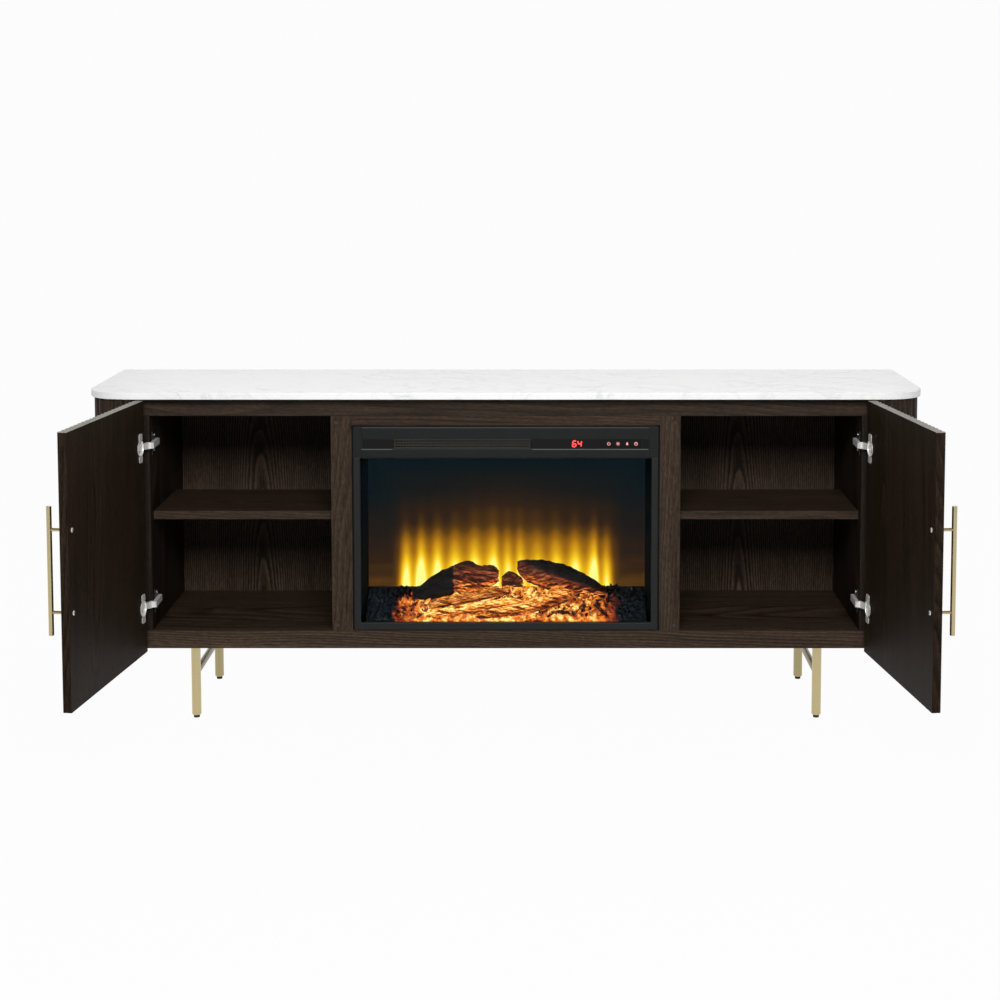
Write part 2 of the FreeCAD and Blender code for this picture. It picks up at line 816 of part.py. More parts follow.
def handle(side, sign):
    """Make a round bar on two posts, all one piece, with blind bores for its screws."""
    pull = node(body_of(f"{side}_pull"), f"{side}_handle")
    plan = sketch(pull, f"{side}_bar_plan", z="door_middle - handle_length / 2")
    ring(plan, f"-{sign} * handle_x", "-handle_reach", "handle_radius")
    pad(pull, plan, "handle_length")
    soften(pull, f"{side}_bar_ends", "handle_edge", level)
    posts = sketch(pull, f"{side}_posts", "XZ_Plane", z="-post_seat")
    for height in POST_LEVELS:
        ring(posts, f"-{sign} * handle_x", height, "post_radius")
    pad(pull, posts, "post_seat + handle_reach")
    bores = sketch(pull, f"{side}_post_bores", "XZ_Plane", z="-post_seat")
    for height in POST_LEVELS:
        ring(bores, f"-{sign} * handle_x", height, "screw_radius + screw_fit")
    pocket(pull, bores, "handle_screw_bite + screw_fit", back=True)
    on_door(pull, sign)


def screw(name, length):
    """Turn a pan-head screw whose head seats at Z zero and whose shank points up."""
    item = body_of(name)
    half = sketch(item, name + "_half", "XZ_Plane")
    outline(half, [
        (0, "-screw_head_height"),
        ("screw_head_radius / 2", "-screw_head_height"),
        ("screw_head_radius", "-screw_head_height / 2"),
        ("screw_head_radius", 0),
        ("screw_radius", 0),
        ("screw_radius", length),
        (0, length),
    ])
    turn(item, half)
    return item


def hinge_cup(name):
    """Make a hinge cup that opens along Z, with a long flange at its mouth."""
    item = body_of(name)
    half = sketch(item, name + "_half", "XZ_Plane")
    outline(half, [
        (0, "-cup_depth"),
        ("cup_radius", "-cup_depth"),
        ("cup_radius", "flange_thickness"),
        ("cup_radius - cup_wall", "flange_thickness"),
        ("cup_radius - cup_wall", "cup_wall - cup_depth"),
        (0, "cup_wall - cup_depth"),
    ])
    turn(item, half)
    wings = sketch(item, name + "_wings")
    for sign in (-1, 1):
        frame(
            wings, "-flange_width / 2", f"{sign} * (cup_radius - cup_wall / 2)",
            "flange_width / 2", f"{sign} * flange_height / 2",
        )
    pad(item, wings, "flange_thickness")
    soften(
        item, name + "_wing_corners", "flange_width / 4",
        lambda e: upright(e, y_test=lambda y: abs(y) > number("flange_height / 2 - cup_wall")),
    )
    return item


handle_screw = screw("handle_screw", "door_thickness - post_seat + handle_screw_bite")
wood_screw = screw("wood_screw", "screw_length")
cup = hinge_cup("cup")

for side, sign in SIDES:
    reeded_end(side, sign)
    door_panel(side, sign)
    handle(side, sign)
    outward = Vector(0, 1, 0)
    screws = copies(
        f"{side}_pull_screws", handle_screw,
        [(f"-{sign} * handle_x", "door_thickness", height) for height in POST_LEVELS], -outward,
    )
    on_door(node(screws, f"{side}_handle_screws"), sign)
    cups = copies(
        f"{side}_cups", cup,
        [(f"-{sign} * cup_inset", "door_thickness", height) for height in HINGE_LEVELS], outward,
    )
    on_door(node(cups, f"{side}_hinge_cups"), sign)


# Hinge plates and arms: the arm runs forward along the side panel into the closed door's cup.
def hinge_arm(name, sign):
    """Make one arm, drawn in plan and as high as it is stamped."""
    item = body_of(name)
    plan = sketch(item, name + "_plan", z="-arm_height / 2")
    outer = f"{sign} * arm_x"
    inner = f"{sign} * (arm_x - arm_thickness)"
    outline(plan, [
        (outer, "hinge_plate_back"),
        (outer, "-arm_tip_shift"),
        (f"{sign} * (arm_x + arm_tip_shift)", "-2 * arm_tip_shift"),
        (f"{sign} * (arm_x + arm_tip_shift)", "-door_back_gap - arm_tip_reach"),
        (f"{sign} * (arm_x - arm_tip_shift)", "-door_back_gap - arm_tip_reach"),
        (inner, "-2 * arm_tip_shift"),
        (inner, "hinge_plate_back - arm_tip_shift"),
        (f"{sign} * (arm_x - arm_tip_shift)", "hinge_plate_back"),
    ])
    pad(item, plan, "arm_height")
    return item


arms = []
plates = []
hinge_screws = []
for side, sign in SIDES:
    arm = hinge_arm(f"{side}_arm", sign)
    arms.append(copies(f"{side}_arms", arm, [(0, 0, height) for height in HINGE_LEVELS]))
    for height in HINGE_LEVELS:
        plate = doc.addObject("Part::Box", f"{side}_plate_{height}")
        bind(
            plate, Length="hinge_plate_thickness", Width="hinge_plate_depth", Height="hinge_plate_height",
            Placement__Base__x=f"{sign} * (arm_x + hinge_plate_thickness / 2) - hinge_plate_thickness / 2",
            Placement__Base__y="frame_thickness",
            Placement__Base__z=f"{height} - hinge_plate_height / 2",
        )
        holes = [
            rod(
                f"{side}_plate_hole_{height}_{step + 1}", Vector(sign, 0, 0), "screw_radius + screw_fit",
                "2 * hinge_plate_thickness", f"{sign} * (arm_x - hinge_plate_thickness / 2)",
                HINGE_SCREW_Y, f"{height} + {step} * hinge_plate_screws / 2",
            )
            for step in (-1, 1)
        ]
        plates.append(cut(f"{side}_drilled_plate_{height}", plate, holes))
    hinge_screws.append(
        copies(
            f"{side}_plate_screws", wood_screw,
            [(f"{sign} * arm_x", HINGE_SCREW_Y, height) for height in HINGE_SCREW_LEVELS],
            Vector(sign, 0, 0),
        )
    )
move(node(group("arm_set", arms), "hinge_arms"))
move(node(group("plate_set", plates), "hinge_plates"))
leg_screws = copies(
    "leg_plate_screws", wood_screw, [(x, y, "leg_top") for x, y in LEG_SCREW_SPOTS]
)
move(node(group("screw_set", hinge_screws + [leg_screws]), "wood_screws"))

stops = [
    rod(
        f"stop_{side}_{step + 1}", Vector(0, -1, 0), "stop_radius", "stop_height",
        f"{sign} * (cupboard_inner - stop_inset)", "front_y",
        f"door_middle + {step} * (door_height / 2 - rail_height - stop_inset)",
    )
    for side, sign in SIDES for step in (-1, 1)
]
node(group("stop_set", stops), "door_stops")


# Base: four turned-in tubes on screwed plates, joined in pairs by a cross tube.
def leg_tube(name):
    """Turn a tube with a rounded, closed foot."""
    item = body_of(name)
    half = sketch(item, name + "_half", "XZ_Plane")
    corner = "leg_round * (1 - sin(45))"
    outline(half, [
        ("glide_stem_radius + glide_fit", "glide_height"),
        (
            "leg_radius - leg_round", "glide_height", f"leg_radius - {corner}",
            f"glide_height + {corner}", "leg_round",
        ),
        ("leg_radius", "glide_height + leg_round"),
        ("leg_radius", "leg_top"),
        ("leg_radius - leg_wall", "leg_top"),
        ("leg_radius - leg_wall", "glide_height + leg_cap"),
        ("glide_stem_radius + glide_fit", "glide_height + leg_cap"),
    ])
    turn(item, half)
    return item


glide = body_of("glide")
half = sketch(glide, "glide_half", "XZ_Plane")
outline(half, [
    (0, 0),
    ("glide_radius", 0),
    ("glide_radius", "glide_height"),
    ("glide_stem_radius", "glide_height"),
    ("glide_stem_radius", "glide_height + glide_stem_length"),
    (0, "glide_height + glide_stem_length"),
])
turn(glide, half)

leg_plate = body_of("leg_plate")
plan = sketch(leg_plate, "leg_plate_plan")
frame(plan, "-leg_plate_length / 2", "-leg_plate_depth / 2", "leg_plate_length / 2", "leg_plate_depth / 2")
for dx in (-1, 1):
    for dy in (-1, 1):
        ring(
            plan, f"{dx} * leg_screw_spacing / 2", f"{dy} * leg_screw_depth_spacing / 2",
            "screw_radius + screw_fit",
        )
pad(leg_plate, plan, "leg_plate_thickness")
soften(leg_plate, "leg_plate_corners", "leg_round", upright)

LEG_LABELS = ("front_left_leg", "rear_left_leg", "front_right_leg", "rear_right_leg")
for (x, y), label in zip(LEG_SPOTS, LEG_LABELS):
    leg = node(leg_tube(label), label)
    move(leg, x, y)
cross_tubes = []
for side, sign in SIDES:
    x = f"{sign} * leg_place"
    bar = rod(
        f"{side}_cross_bar", Vector(0, 1, 0), "stretcher_radius", "leg_spacing",
        x, "front_y + leg_front", "stretcher_height",
    )
    ends = [
        rod(
            f"{side}_cope_{depth}", Vector(0, 0, 1), "leg_radius + weld_gap", "leg_top",
            x, f"front_y + {depth}", 0,
        )
        for depth in ("leg_front", "leg_back")
    ]
    cross_tubes.append(cut(f"{side}_cross_tube", bar, ends))
node(group("cross_tubes", cross_tubes), "stretchers")
move(node(copies("leg_plate_set", leg_plate, [(x, y, "leg_top") for x, y in LEG_SPOTS]), "leg_plates"))
move(node(copies("glide_set", glide, [(x, y, 0) for x, y in LEG_SPOTS]), "leg_glides"))


# Fireplace insert, front: a metal trim round the glass and a fascia with the controls above it.
def front_sheet(name, label, place):
    """Start a piece that is drawn on an upright plane at a distance behind the face frame."""
    item = node(body_of(name), label)
    return item, sketch(item, name + "_front", "XZ_Plane", z=f"-({place})")


def window(body, name, place, left, low, width, height, depth):
    """Cut a rectangular window towards the back."""
    opening = sketch(body, name, "XZ_Plane", z=f"-({place})")
    frame(opening, left, low, f"{left} + {width}", f"{low} + {height}")
    pocket(body, opening, depth)


trim, face = front_sheet("trim", "insert_trim", "insert_setback")
outline(face, [
    ("-insert_width / 2", "insert_floor"),
    ("insert_width / 2", "insert_floor"),
    ("insert_width / 2", "fascia_under"),
    ("insert_width / 2 - trim_side", "fascia_under"),
    ("insert_width / 2 - trim_side", "insert_floor + trim_bottom"),
    ("trim_side - insert_width / 2", "insert_floor + trim_bottom"),
    ("trim_side - insert_width / 2", "fascia_under"),
    ("-insert_width / 2", "fascia_under"),
])
pad(trim, face, "trim_depth", back=True)
move(trim)

BAND_WINDOWS = {
    "grille": ("-grille_left", "grille_width", "grille_height"),
    "display": ("display_left", "display_width", "display_height"),
    "touch": ("touch_left", "touch_width", "touch_height"),
}
fascia, face = front_sheet("fascia", "insert_fascia", "insert_setback")
frame(face, "-insert_width / 2", "fascia_under", "insert_width / 2", "insert_top")
pad(fascia, face, "trim_depth", back=True)
window(
    fascia, "fascia_band", "insert_setback", "-band_half", "band_under", "2 * band_half",
    "band_height", "band_depth",
)
for name, (left, width, height) in BAND_WINDOWS.items():
    window(
        fascia, f"fascia_{name}_window", "band_floor", left, f"band_middle - {height} / 2", width,
        height, "trim_depth",
    )
move(fascia)

grille, face = front_sheet("grille", "insert_grille", "band_floor")
frame(
    face, "-grille_left", "band_middle - grille_height / 2", "grille_width - grille_left",
    "band_middle + grille_height / 2",
)
pad(grille, face, "grille_thickness", back=True)
holes = sketch(grille, "grille_holes", "XZ_Plane", z="-band_floor")
for step in (-1, 0, 1):
    low = f"band_middle + {step} * grille_row_pitch - grille_hole / 2"
    left = "(grille_width - grille_hole - grille_column_pitch * (grille_columns - 1)) / 2 - grille_left"
    frame(holes, left, low, f"{left} + grille_hole", f"{low} + grille_hole")
first = pocket(grille, holes, "grille_thickness")
row(
    grille, first, holes, "H_Axis", "grille_column_pitch * (grille_columns - 1)", "grille_columns"
)
move(grille)

for name, label in (("display", "led_display"), ("touch", "touch_panel")):
    left, width, height = BAND_WINDOWS[name]
    pane = block(
        label, left, "band_floor", f"band_middle - {height} / 2", width, "display_thickness", height
    )
    node(pane, label)

glass = block(
    "pane", "-glass_half", "insert_back", "insert_floor + trim_bottom - glass_lap", "2 * glass_half",
    "glass_thickness", "fascia_under + 2 * glass_lap - insert_floor - trim_bottom",
)
node(glass, "insert_glass")


# Steel case: a firebox below, a blower chamber above, a bush for the flame spindle, and a back
# plate with the hole for the cord inlet.
case, face = front_sheet("case", "insert_case", "insert_back")
frame(face, "-case_half", "opening_floor", "case_half", "insert_top")
pad(case, face, "case_depth - case_wall", back=True)
for name, low, height in (
    ("firebox", "hearth_floor", "firebox_height"),
    ("blower_chamber", "blower_floor", "(case_top - blower_floor)"),
):
    window(case, name, "insert_back", "-case_inside", low, "2 * case_inside", height, "case_depth")
bush = sketch(case, "spindle_bush", "YZ_Plane", z="-case_inside")
ring(bush, "spindle_y", "spindle_z", "bush_radius")
ring(bush, "spindle_y", "spindle_z", "spindle_radius + shaft_fit")
pad(case, bush, "bush_length")
move(case)

plate, face = front_sheet("case_back_plate", "insert_back_plate", "case_back - case_wall")
frame(face, "-case_half", "opening_floor", "case_half", "insert_top")
ring(face, "inlet_place", "hearth_floor + inlet_rise", "inlet_radius + shaft_fit")
pad(plate, face, "case_wall", back=True)
move(plate)

inlet, face = front_sheet("inlet", "power_inlet", "case_back")
ring(face, "inlet_place", "hearth_floor + inlet_rise", "inlet_flange")
ring(face, "inlet_place", "hearth_floor + inlet_rise", "inlet_bore")
pad(inlet, face, "inlet_flange_thickness", back=True)
neck = sketch(inlet, "inlet_neck", "XZ_Plane", z="-case_back")
ring(neck, "inlet_place", "hearth_floor + inlet_rise", "inlet_radius")
ring(neck, "inlet_place", "hearth_floor + inlet_rise", "inlet_bore")
pad(inlet, neck, "inlet_length")
move(inlet)

# Firebox: a back screen for the flames, slanting side liners and a hollow bed of embers.
screen = block(
    "screen", "-screen_half", "screen_place", "hearth_floor", "screen_width", "screen_thickness",
    "firebox_height",
)
node(screen, "flame_screen")

liners = []
for side, sign in SIDES:
    liner = body_of(f"{side}_liner")
    plan = sketch(liner, f"{side}_liner_plan", z="hearth_floor")
    outline(plan, [
        (f"{sign} * case_inside", "glass_back"),
        (f"{sign} * (case_inside - liner_thickness)", "glass_back"),
        (f"{sign} * screen_half", "screen_place"),
        (f"{sign} * (screen_half + liner_thickness)", "screen_place"),
    ])
    pad(liner, plan, "firebox_height")
    liners.append(liner)
move(node(group("liner_pair", liners), "firebox_liners"))

BED_MIDDLE_SHARE = 0.45
bed = node(body_of("bed"), "ember_bed")
profile = sketch(bed, "bed_profile", "YZ_Plane", z="-screen_half")
bed_line = [
    ("bed_start", "bed_front_height"),
    (f"bed_start + {BED_MIDDLE_SHARE} * bed_depth", "bed_middle_height"),
    ("bed_end", "bed_back_height"),
]
inner_line = [
    ("bed_start + bed_wall", "bed_front_height - bed_wall"),
    (f"bed_start + {BED_MIDDLE_SHARE} * bed_depth", "bed_middle_height - 1.5 * bed_wall"),
    ("bed_end - bed_wall", "bed_back_height - 1.7 * bed_wall"),
]
outline(
    profile,
    [("bed_start", "hearth_floor")]
    + [(y, f"hearth_floor + {z}") for y, z in bed_line]
    + [("bed_end", "hearth_floor"), ("bed_end - bed_wall", "hearth_floor")]
    + [(y, f"hearth_floor + {z}") for y, z in reversed(inner_line)]
    + [("bed_start + bed_wall", "hearth_floor")],
)
pad(bed, profile, "screen_width")
move(bed)

# Logs: each is a loft through many-sided sections, cut off where it sinks into the bed. A
# station gives, as shares, its place across half the screen, across the bed, up the bed's back
# height, and its radius.
LOG_SHARES = (
    ((-0.66, 0.50, 0.74, 0.50), (-0.52, 0.56, 1.00, 0.84), (-0.30, 0.58, 1.50, 1.00),
     (-0.20, 0.52, 1.46, 0.96), (-0.06, 0.42, 1.22, 0.78)),
    ((0.04, 0.40, 1.50, 0.84), (0.20, 0.46, 1.44, 1.00), (0.44, 0.52, 1.12, 0.96),
     (0.68, 0.56, 0.84, 0.62)),
    ((0.00, 0.42, 1.16, 0.66), (0.02, 0.62, 1.14, 0.72), (0.04, 0.84, 1.00, 0.72)),
    ((-0.53, 0.22, 0.62, 0.40), (-0.30, 0.26, 0.70, 0.58), (0.04, 0.30, 0.86, 0.52)),
    ((-0.64, 0.12, 0.42, 0.36), (-0.30, 0.13, 0.46, 0.56), (0.10, 0.14, 0.54, 0.60),
     (0.44, 0.17, 0.66, 0.56)),
)
LOG_SIDES = 12


def log_solid(stations):
    """Loft one log through its stations."""
    centres = [
        Vector(
            across * number("screen_half"),
            number("bed_start") + deep * number("bed_depth"),
            number("hearth_floor") + up * number("bed_back_height"),
        )
        for across, deep, up, _ in stations
    ]
    sections = []
    for count, (centre, station) in enumerate(zip(centres, stations)):
        ahead = (centres[min(count + 1, len(centres) - 1)] - centres[max(count - 1, 0)]).normalize()
        aside = ahead.cross(Vector(0, 0, 1)).normalize()
        above = aside.cross(ahead)
        girth = station[3] * number("log_girth")
        corners = []
        for side in range(LOG_SIDES):
            angle = 2 * pi * side / LOG_SIDES
            corners.append(centre + aside * girth * cos(angle) + above * girth * sin(angle))
        sections.append(Part.makePolygon(corners + corners[:1]))
    whole = Part.makeLoft(sections, True, True).cut(bed.Tip.Shape)
    return max(whole.Solids, key=lambda solid: solid.Volume)


logs = doc.addObject("Part::Feature", "logs")
solids = [log_solid(stations) for stations in LOG_SHARES]
logs.Shape = solids[0].multiFuse(solids[1:])
logs.Placement.Base.y = number("front_y")
node(logs, "log_set")


# Flame effect: a lit strip, and a spindle of bright vanes that turns behind the screen.
def light_strip():
    """Make a strip of small lamps."""
    item = body_of("light_strip")
    plan = sketch(item, "light_plan")
    frame(plan, "-light_length / 2", "-light_width / 2", "light_length / 2", "light_width / 2")
    pad(item, plan, "light_thickness")
    lamp = sketch(item, "lamp_plan", z="light_thickness")
    ring(lamp, "(lamp_pitch - light_length) / 2", 0, "lamp_radius")
    first = pad(item, lamp, "lamp_height")
    row(item, first, lamp, "H_Axis", "lamp_pitch * (lamp_count - 1)", "lamp_count")
    return item


strip_spots = [(0, "bed_start + bed_depth / 2", "hearth_floor"), (0, "spindle_y", "hearth_floor")]
move(node(copies("strips", light_strip(), strip_spots), "ember_lights"))

spindle = node(body_of("spindle"), "flame_spindle")
shaft = sketch(spindle, "spindle_shaft", "YZ_Plane", z="spindle_start")
ring(shaft, 0, 0, "spindle_radius")
pad(spindle, shaft, "spindle_length")
for quarter in range(4):
    angle = 180 / 4 * quarter
    reach = (f"vane_reach * cos({angle})", f"vane_reach * sin({angle})")
    half = (f"vane_thickness / 2 * sin({angle})", f"vane_thickness / 2 * cos({angle})")
    vane = sketch(
        spindle, f"vane_{quarter}", "YZ_Plane", z=f"vane_pitch * {quarter} - light_length / 2"
    )
    outline(vane, [
        (f"{along} * {reach[0]} - {over} * {half[0]}", f"{along} * {reach[1]} + {over} * {half[1]}")
        for along, over in ((-1, -1), (1, -1), (1, 1), (-1, 1))
    ])
    first = pad(spindle, vane, "vane_width")
    row(spindle, first, vane, "N_Axis", "4 * vane_pitch * (vane_count - 1)", "vane_count")
move(spindle, 0, "spindle_y", "spindle_z")

motor = body_of("motor")
can = sketch(motor, "motor_can", "YZ_Plane")
ring(can, 0, 0, "motor_radius")
pad(motor, can, "motor_length")
socket = sketch(motor, "motor_socket", "YZ_Plane")
ring(socket, 0, 0, "spindle_radius + shaft_fit")
pocket(motor, socket, "shaft_bite + glue_gap", back=True)
motors = []
for x, y, z in (
    ("case_inside - motor_length", "spindle_y", "spindle_z"),
    ("rotor_middle + housing_half", "rotor_y", "rotor_z"),
):
    motor_copy = doc.addObject("App::Link", f"motor_{len(motors)}")
    motor_copy.LinkedObject = motor
    bind(motor_copy, Placement__Base__x=x, Placement__Base__y=y, Placement__Base__z=z)
    motors.append(motor_copy)
move(node(group("motor_pair", motors), "drive_motors"))

# Blower: a drum of blades in a housing that opens towards the heater and the grille.
rotor = node(body_of("rotor"), "blower_rotor")
axle = sketch(rotor, "rotor_axle", "YZ_Plane", z="-housing_half")
ring(axle, 0, 0, "spindle_radius")
pad(rotor, axle, "2 * housing_half + shaft_bite")
for name, place in (
    ("left_disc", "-rotor_length / 2"),
    ("middle_disc", "-rotor_disc / 2"),
    ("right_disc", "rotor_length / 2 - rotor_disc"),
):
    disc = sketch(rotor, name, "YZ_Plane", z=place)
    ring(disc, 0, 0, "rotor_radius")
    pad(rotor, disc, "rotor_disc")
blade = sketch(rotor, "blade", "YZ_Plane", z="-rotor_length / 2")
frame(blade, "rotor_radius - blade_width", 0, "rotor_radius - blade_thickness / 2", "blade_thickness")
first = pad(rotor, blade, "rotor_length")
wheel(rotor, first, blade, "360 - 360 / blade_count", "blade_count")
move(rotor, "rotor_middle", "rotor_y", "rotor_z")


def scroll(radius, way):
    """Give the two quarter arcs of the duct's round back, going up or down."""
    swing = "sin(45)"
    return [
        (0, f"-{way} * {radius}", f"{radius} * {swing}", f"-{way} * {radius} * {swing}", radius),
        (radius, 0, f"{radius} * {swing}", f"{way} * {radius} * {swing}", radius),
    ]


housing = node(body_of("housing"), "blower_housing")
mouth = "heater_back - rotor_y"
outer_line = [
    (mouth, "-housing_outer"), *scroll("housing_outer", 1), (0, "housing_outer"),
    (mouth, "housing_outer"),
]
duct = sketch(housing, "duct", "YZ_Plane", z="-housing_half")
outline(duct, outer_line + [
    (mouth, "housing_radius"), *scroll("housing_radius", -1), (0, "-housing_radius"),
    (mouth, "-housing_radius"),
])
pad(housing, duct, "2 * housing_half")
for name, place in (("left_cheek", "-housing_half"), ("right_cheek", "housing_half - housing_wall")):
    cheek = sketch(housing, name, "YZ_Plane", z=place)
    outline(cheek, outer_line)
    ring(cheek, 0, 0, "spindle_radius + shaft_fit")
    pad(housing, cheek, "housing_wall")
intake = sketch(housing, "intake", z="housing_radius")
frame(intake, "-rotor_length / 2", "-rotor_radius", "rotor_length / 2", "-housing_gap")
pocket(housing, intake, "housing_wall", back=True)
move(housing, "rotor_middle", "rotor_y", "rotor_z")

heater, face = front_sheet("heater", "heating_element", "heater_front")
frame(
    face, "rotor_middle - housing_half", "blower_floor", "rotor_middle + housing_half",
    "blower_floor + 2 * housing_outer",
)
pad(heater, face, "heater_depth", back=True)
slot = sketch(heater, "heater_slot", "XZ_Plane", z="-heater_front")
left = "rotor_middle - housing_half + heater_margin + heater_fin / 2"
frame(
    slot, left, "blower_floor + heater_margin", f"{left} + heater_pitch - heater_fin",
    "blower_floor + 2 * housing_outer - heater_margin",
)
first = pocket(heater, slot, "heater_depth")
row(heater, first, slot, "H_Axis", "heater_pitch * (heater_slot_count - 1)", "heater_slot_count")
move(heater)

circuit, face = front_sheet("circuit", "control_board", "insert_back + circuit_setback")
frame(
    face, "circuit_left", "blower_floor", "circuit_left + circuit_width",
    "blower_floor + circuit_height",
)
pad(circuit, face, "circuit_thickness", back=True)
relays = sketch(
    circuit, "relays", "XZ_Plane", z="-(insert_back + circuit_setback + circuit_thickness)"
)
RELAY_SHARES = (0.15, 0.45, 0.75)
for share in RELAY_SHARES:
    left = f"circuit_left + {share} * circuit_width"
    low = "blower_floor + (circuit_height - relay_height) / 2"
    frame(relays, left, low, f"{left} + relay_length", f"{low} + relay_height")
pad(circuit, relays, "relay_depth", back=True)
move(circuit)


# Every object has to be sound, and every piece a closed solid, before anything is written.
doc.recompute()
faulty = [item.Name for item in doc.Objects if {"Invalid", "Error"} & set(item.State)]
faulty += [item.Label for item in NODES if item.Shape.isNull() or not item.Shape.isValid()]
faulty += [item.Label for item in NODES if not item.Shape.Solids]
if faulty:
    raise ValueError("failed: " + ", ".join(faulty))

os.makedirs("parts", exist_ok=True)
for item in NODES:
    item.Shape.exportStep(f"parts/{item.Label}.step")
    print(item.Label, len(item.Shape.Solids), round(item.Shape.Volume))
print(len(NODES), "pieces")
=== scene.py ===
import math
import random

import bmesh
import bpy
from mathutils import Matrix, Vector, noise


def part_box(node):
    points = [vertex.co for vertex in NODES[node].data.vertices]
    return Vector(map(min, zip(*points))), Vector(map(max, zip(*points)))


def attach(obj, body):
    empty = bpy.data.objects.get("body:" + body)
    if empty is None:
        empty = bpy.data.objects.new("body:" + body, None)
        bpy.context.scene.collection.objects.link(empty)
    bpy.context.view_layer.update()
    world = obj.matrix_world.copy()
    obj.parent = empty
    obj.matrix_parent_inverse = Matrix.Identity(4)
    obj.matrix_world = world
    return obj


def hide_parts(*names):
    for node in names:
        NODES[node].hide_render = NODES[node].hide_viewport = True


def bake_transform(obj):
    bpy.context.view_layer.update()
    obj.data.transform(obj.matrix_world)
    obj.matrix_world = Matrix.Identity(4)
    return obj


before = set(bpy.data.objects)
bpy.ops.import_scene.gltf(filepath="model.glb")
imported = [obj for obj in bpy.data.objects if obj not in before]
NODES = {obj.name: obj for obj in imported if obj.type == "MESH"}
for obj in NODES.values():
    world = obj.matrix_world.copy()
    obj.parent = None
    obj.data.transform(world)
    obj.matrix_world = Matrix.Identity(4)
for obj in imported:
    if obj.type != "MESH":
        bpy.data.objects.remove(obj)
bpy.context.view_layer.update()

random.seed(7)

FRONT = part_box("top_rail")[0].y          # front of the face frame
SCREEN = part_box("flame_screen")
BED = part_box("ember_bed")
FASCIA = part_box("insert_fascia")
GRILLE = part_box("insert_grille")
FLOOR = SCREEN[0].z                      # floor of the firebox
RECESS_FLOOR = GRILLE[0].y - 0.0005
RECESS_HALF, RECESS_FOOT, RECESS_TOP = 0.303, 0.5931, 0.6155     # recess of the fascia


# Node helpers
class Tree:
    """Build a material's or a group's nodes with short calls."""

    def __init__(self, tree):
        self.tree = tree
        self.count = 0

    def add(self, kind, settings=None, **inputs):
        item = self.tree.nodes.new(kind)
        item.location = (220 * (self.count % 12), -260 * (self.count // 12))
        self.count += 1
        for name, value in (settings or {}).items():
            setattr(item, name, value)
        for name, value in inputs.items():
            self.put(item, name.replace("_", " "), value)
        return item

    def put(self, item, name, value):
        sockets = item.inputs
        socket = sockets[int(name[1:])] if name[:1] == "i" and name[1:].isdigit() else sockets[name]
        if isinstance(value, bpy.types.NodeSocket):
            self.tree.links.new(value, socket)
        else:
            socket.default_value = value

    def math(self, operation, first, second=0.0, third=0.0, clamp=False):
        item = self.add("ShaderNodeMath", {"operation": operation, "use_clamp": clamp})
        for count, value in enumerate((first, second, third)):
            self.put(item, f"i{count}", value)
        return item.outputs[0]

    def times(self, first, second, clamp=False):
        return self.math("MULTIPLY", first, second, clamp=clamp)

    def fit(self, value, factor, shift, clamp=False):
        return self.math("MULTIPLY_ADD", value, factor, shift, clamp)

    def less(self, first, second):
        return self.math("SUBTRACT", first, second)

    def split(self, vector):
        return self.add("ShaderNodeSeparateXYZ", Vector=vector).outputs[:]

    def ramp(self, factor, stops, mode="LINEAR"):
        item = self.add("ShaderNodeValToRGB", Fac=factor)
        item.color_ramp.interpolation = mode
        marks = item.color_ramp.elements
        while len(marks) < len(stops):
            marks.new(1.0)
        for mark, (place, colour) in zip(marks, stops):
            mark.position = place
            mark.color = (*colour, 1) if isinstance(colour, tuple) else (colour, colour, colour, 1)
        return item.outputs[0]

    def noise(self, vector, scale, detail=2.0, rough=0.5, distortion=0.0):
        item = self.add(
            "ShaderNodeTexNoise", Vector=vector, Scale=scale, Detail=detail, Roughness=rough,
            Distortion=distortion,
        )
        return item.outputs[0]

    def stretched(self, vector, scale, detail=2.0, rough=0.5, distortion=0.0):
        return self.noise(self.place(vector, scale=scale), 1.0, detail, rough, distortion)

    def mix(self, factor, first, second, blend="MIX"):
        item = self.add("ShaderNodeMix", {"data_type": "RGBA", "blend_type": blend})
        for count, value in ((0, factor), (6, first), (7, second)):
            if isinstance(value, tuple):
                value = (*value, 1)[:4]
            self.put(item, f"i{count}", value)
        return item.outputs[2]

    def place(self, vector, scale=(1, 1, 1), shift=(0, 0, 0), turn=(0, 0, 0)):
        item = self.add("ShaderNodeMapping", Vector=vector)
        item.inputs["Location"].default_value = shift
        item.inputs["Rotation"].default_value = turn
        item.inputs["Scale"].default_value = scale
        return item.outputs[0]

    def bump(self, height, strength, distance):
        item = self.add("ShaderNodeBump", Height=height, Strength=strength, Distance=distance)
        return item.outputs[0]

    def group(self, tree, **inputs):
        return self.add("ShaderNodeGroup", {"node_tree": tree}, **inputs)


def group_tree(name, inputs, outputs):
    """Start a node group with its sockets; give its helper, inputs and output node."""
    tree = bpy.data.node_groups.new(name, "ShaderNodeTree")
    for label, kind, value in inputs:
        socket = tree.interface.new_socket(label, in_out="INPUT", socket_type=kind)
        if value is not None:
            socket.default_value = value
    for label, kind in outputs:
        tree.interface.new_socket(label, in_out="OUTPUT", socket_type=kind)
    helper = Tree(tree)
    source = helper.add("NodeGroupInput")
    sink = helper.add("NodeGroupOutput")
    return tree, helper, source.outputs, sink


def material(name, **shader):
    """Start a material with one Principled shader; give it, its helper and the shader."""
    made = bpy.data.materials.new(name)
    made.use_nodes = True
    made.node_tree.nodes.clear()
    helper = Tree(made.node_tree)
    surface = helper.add("ShaderNodeBsdfPrincipled")
    for label, value in shader.items():
        helper.put(surface, label.replace("_", " "), value)
    out = helper.add("ShaderNodeOutputMaterial")
    made.node_tree.links.new(surface.outputs[0], out.inputs[0])
    made.diffuse_color = (*tuple(surface.inputs["Base Color"].default_value)[:3], 1)
    return made, helper, surface


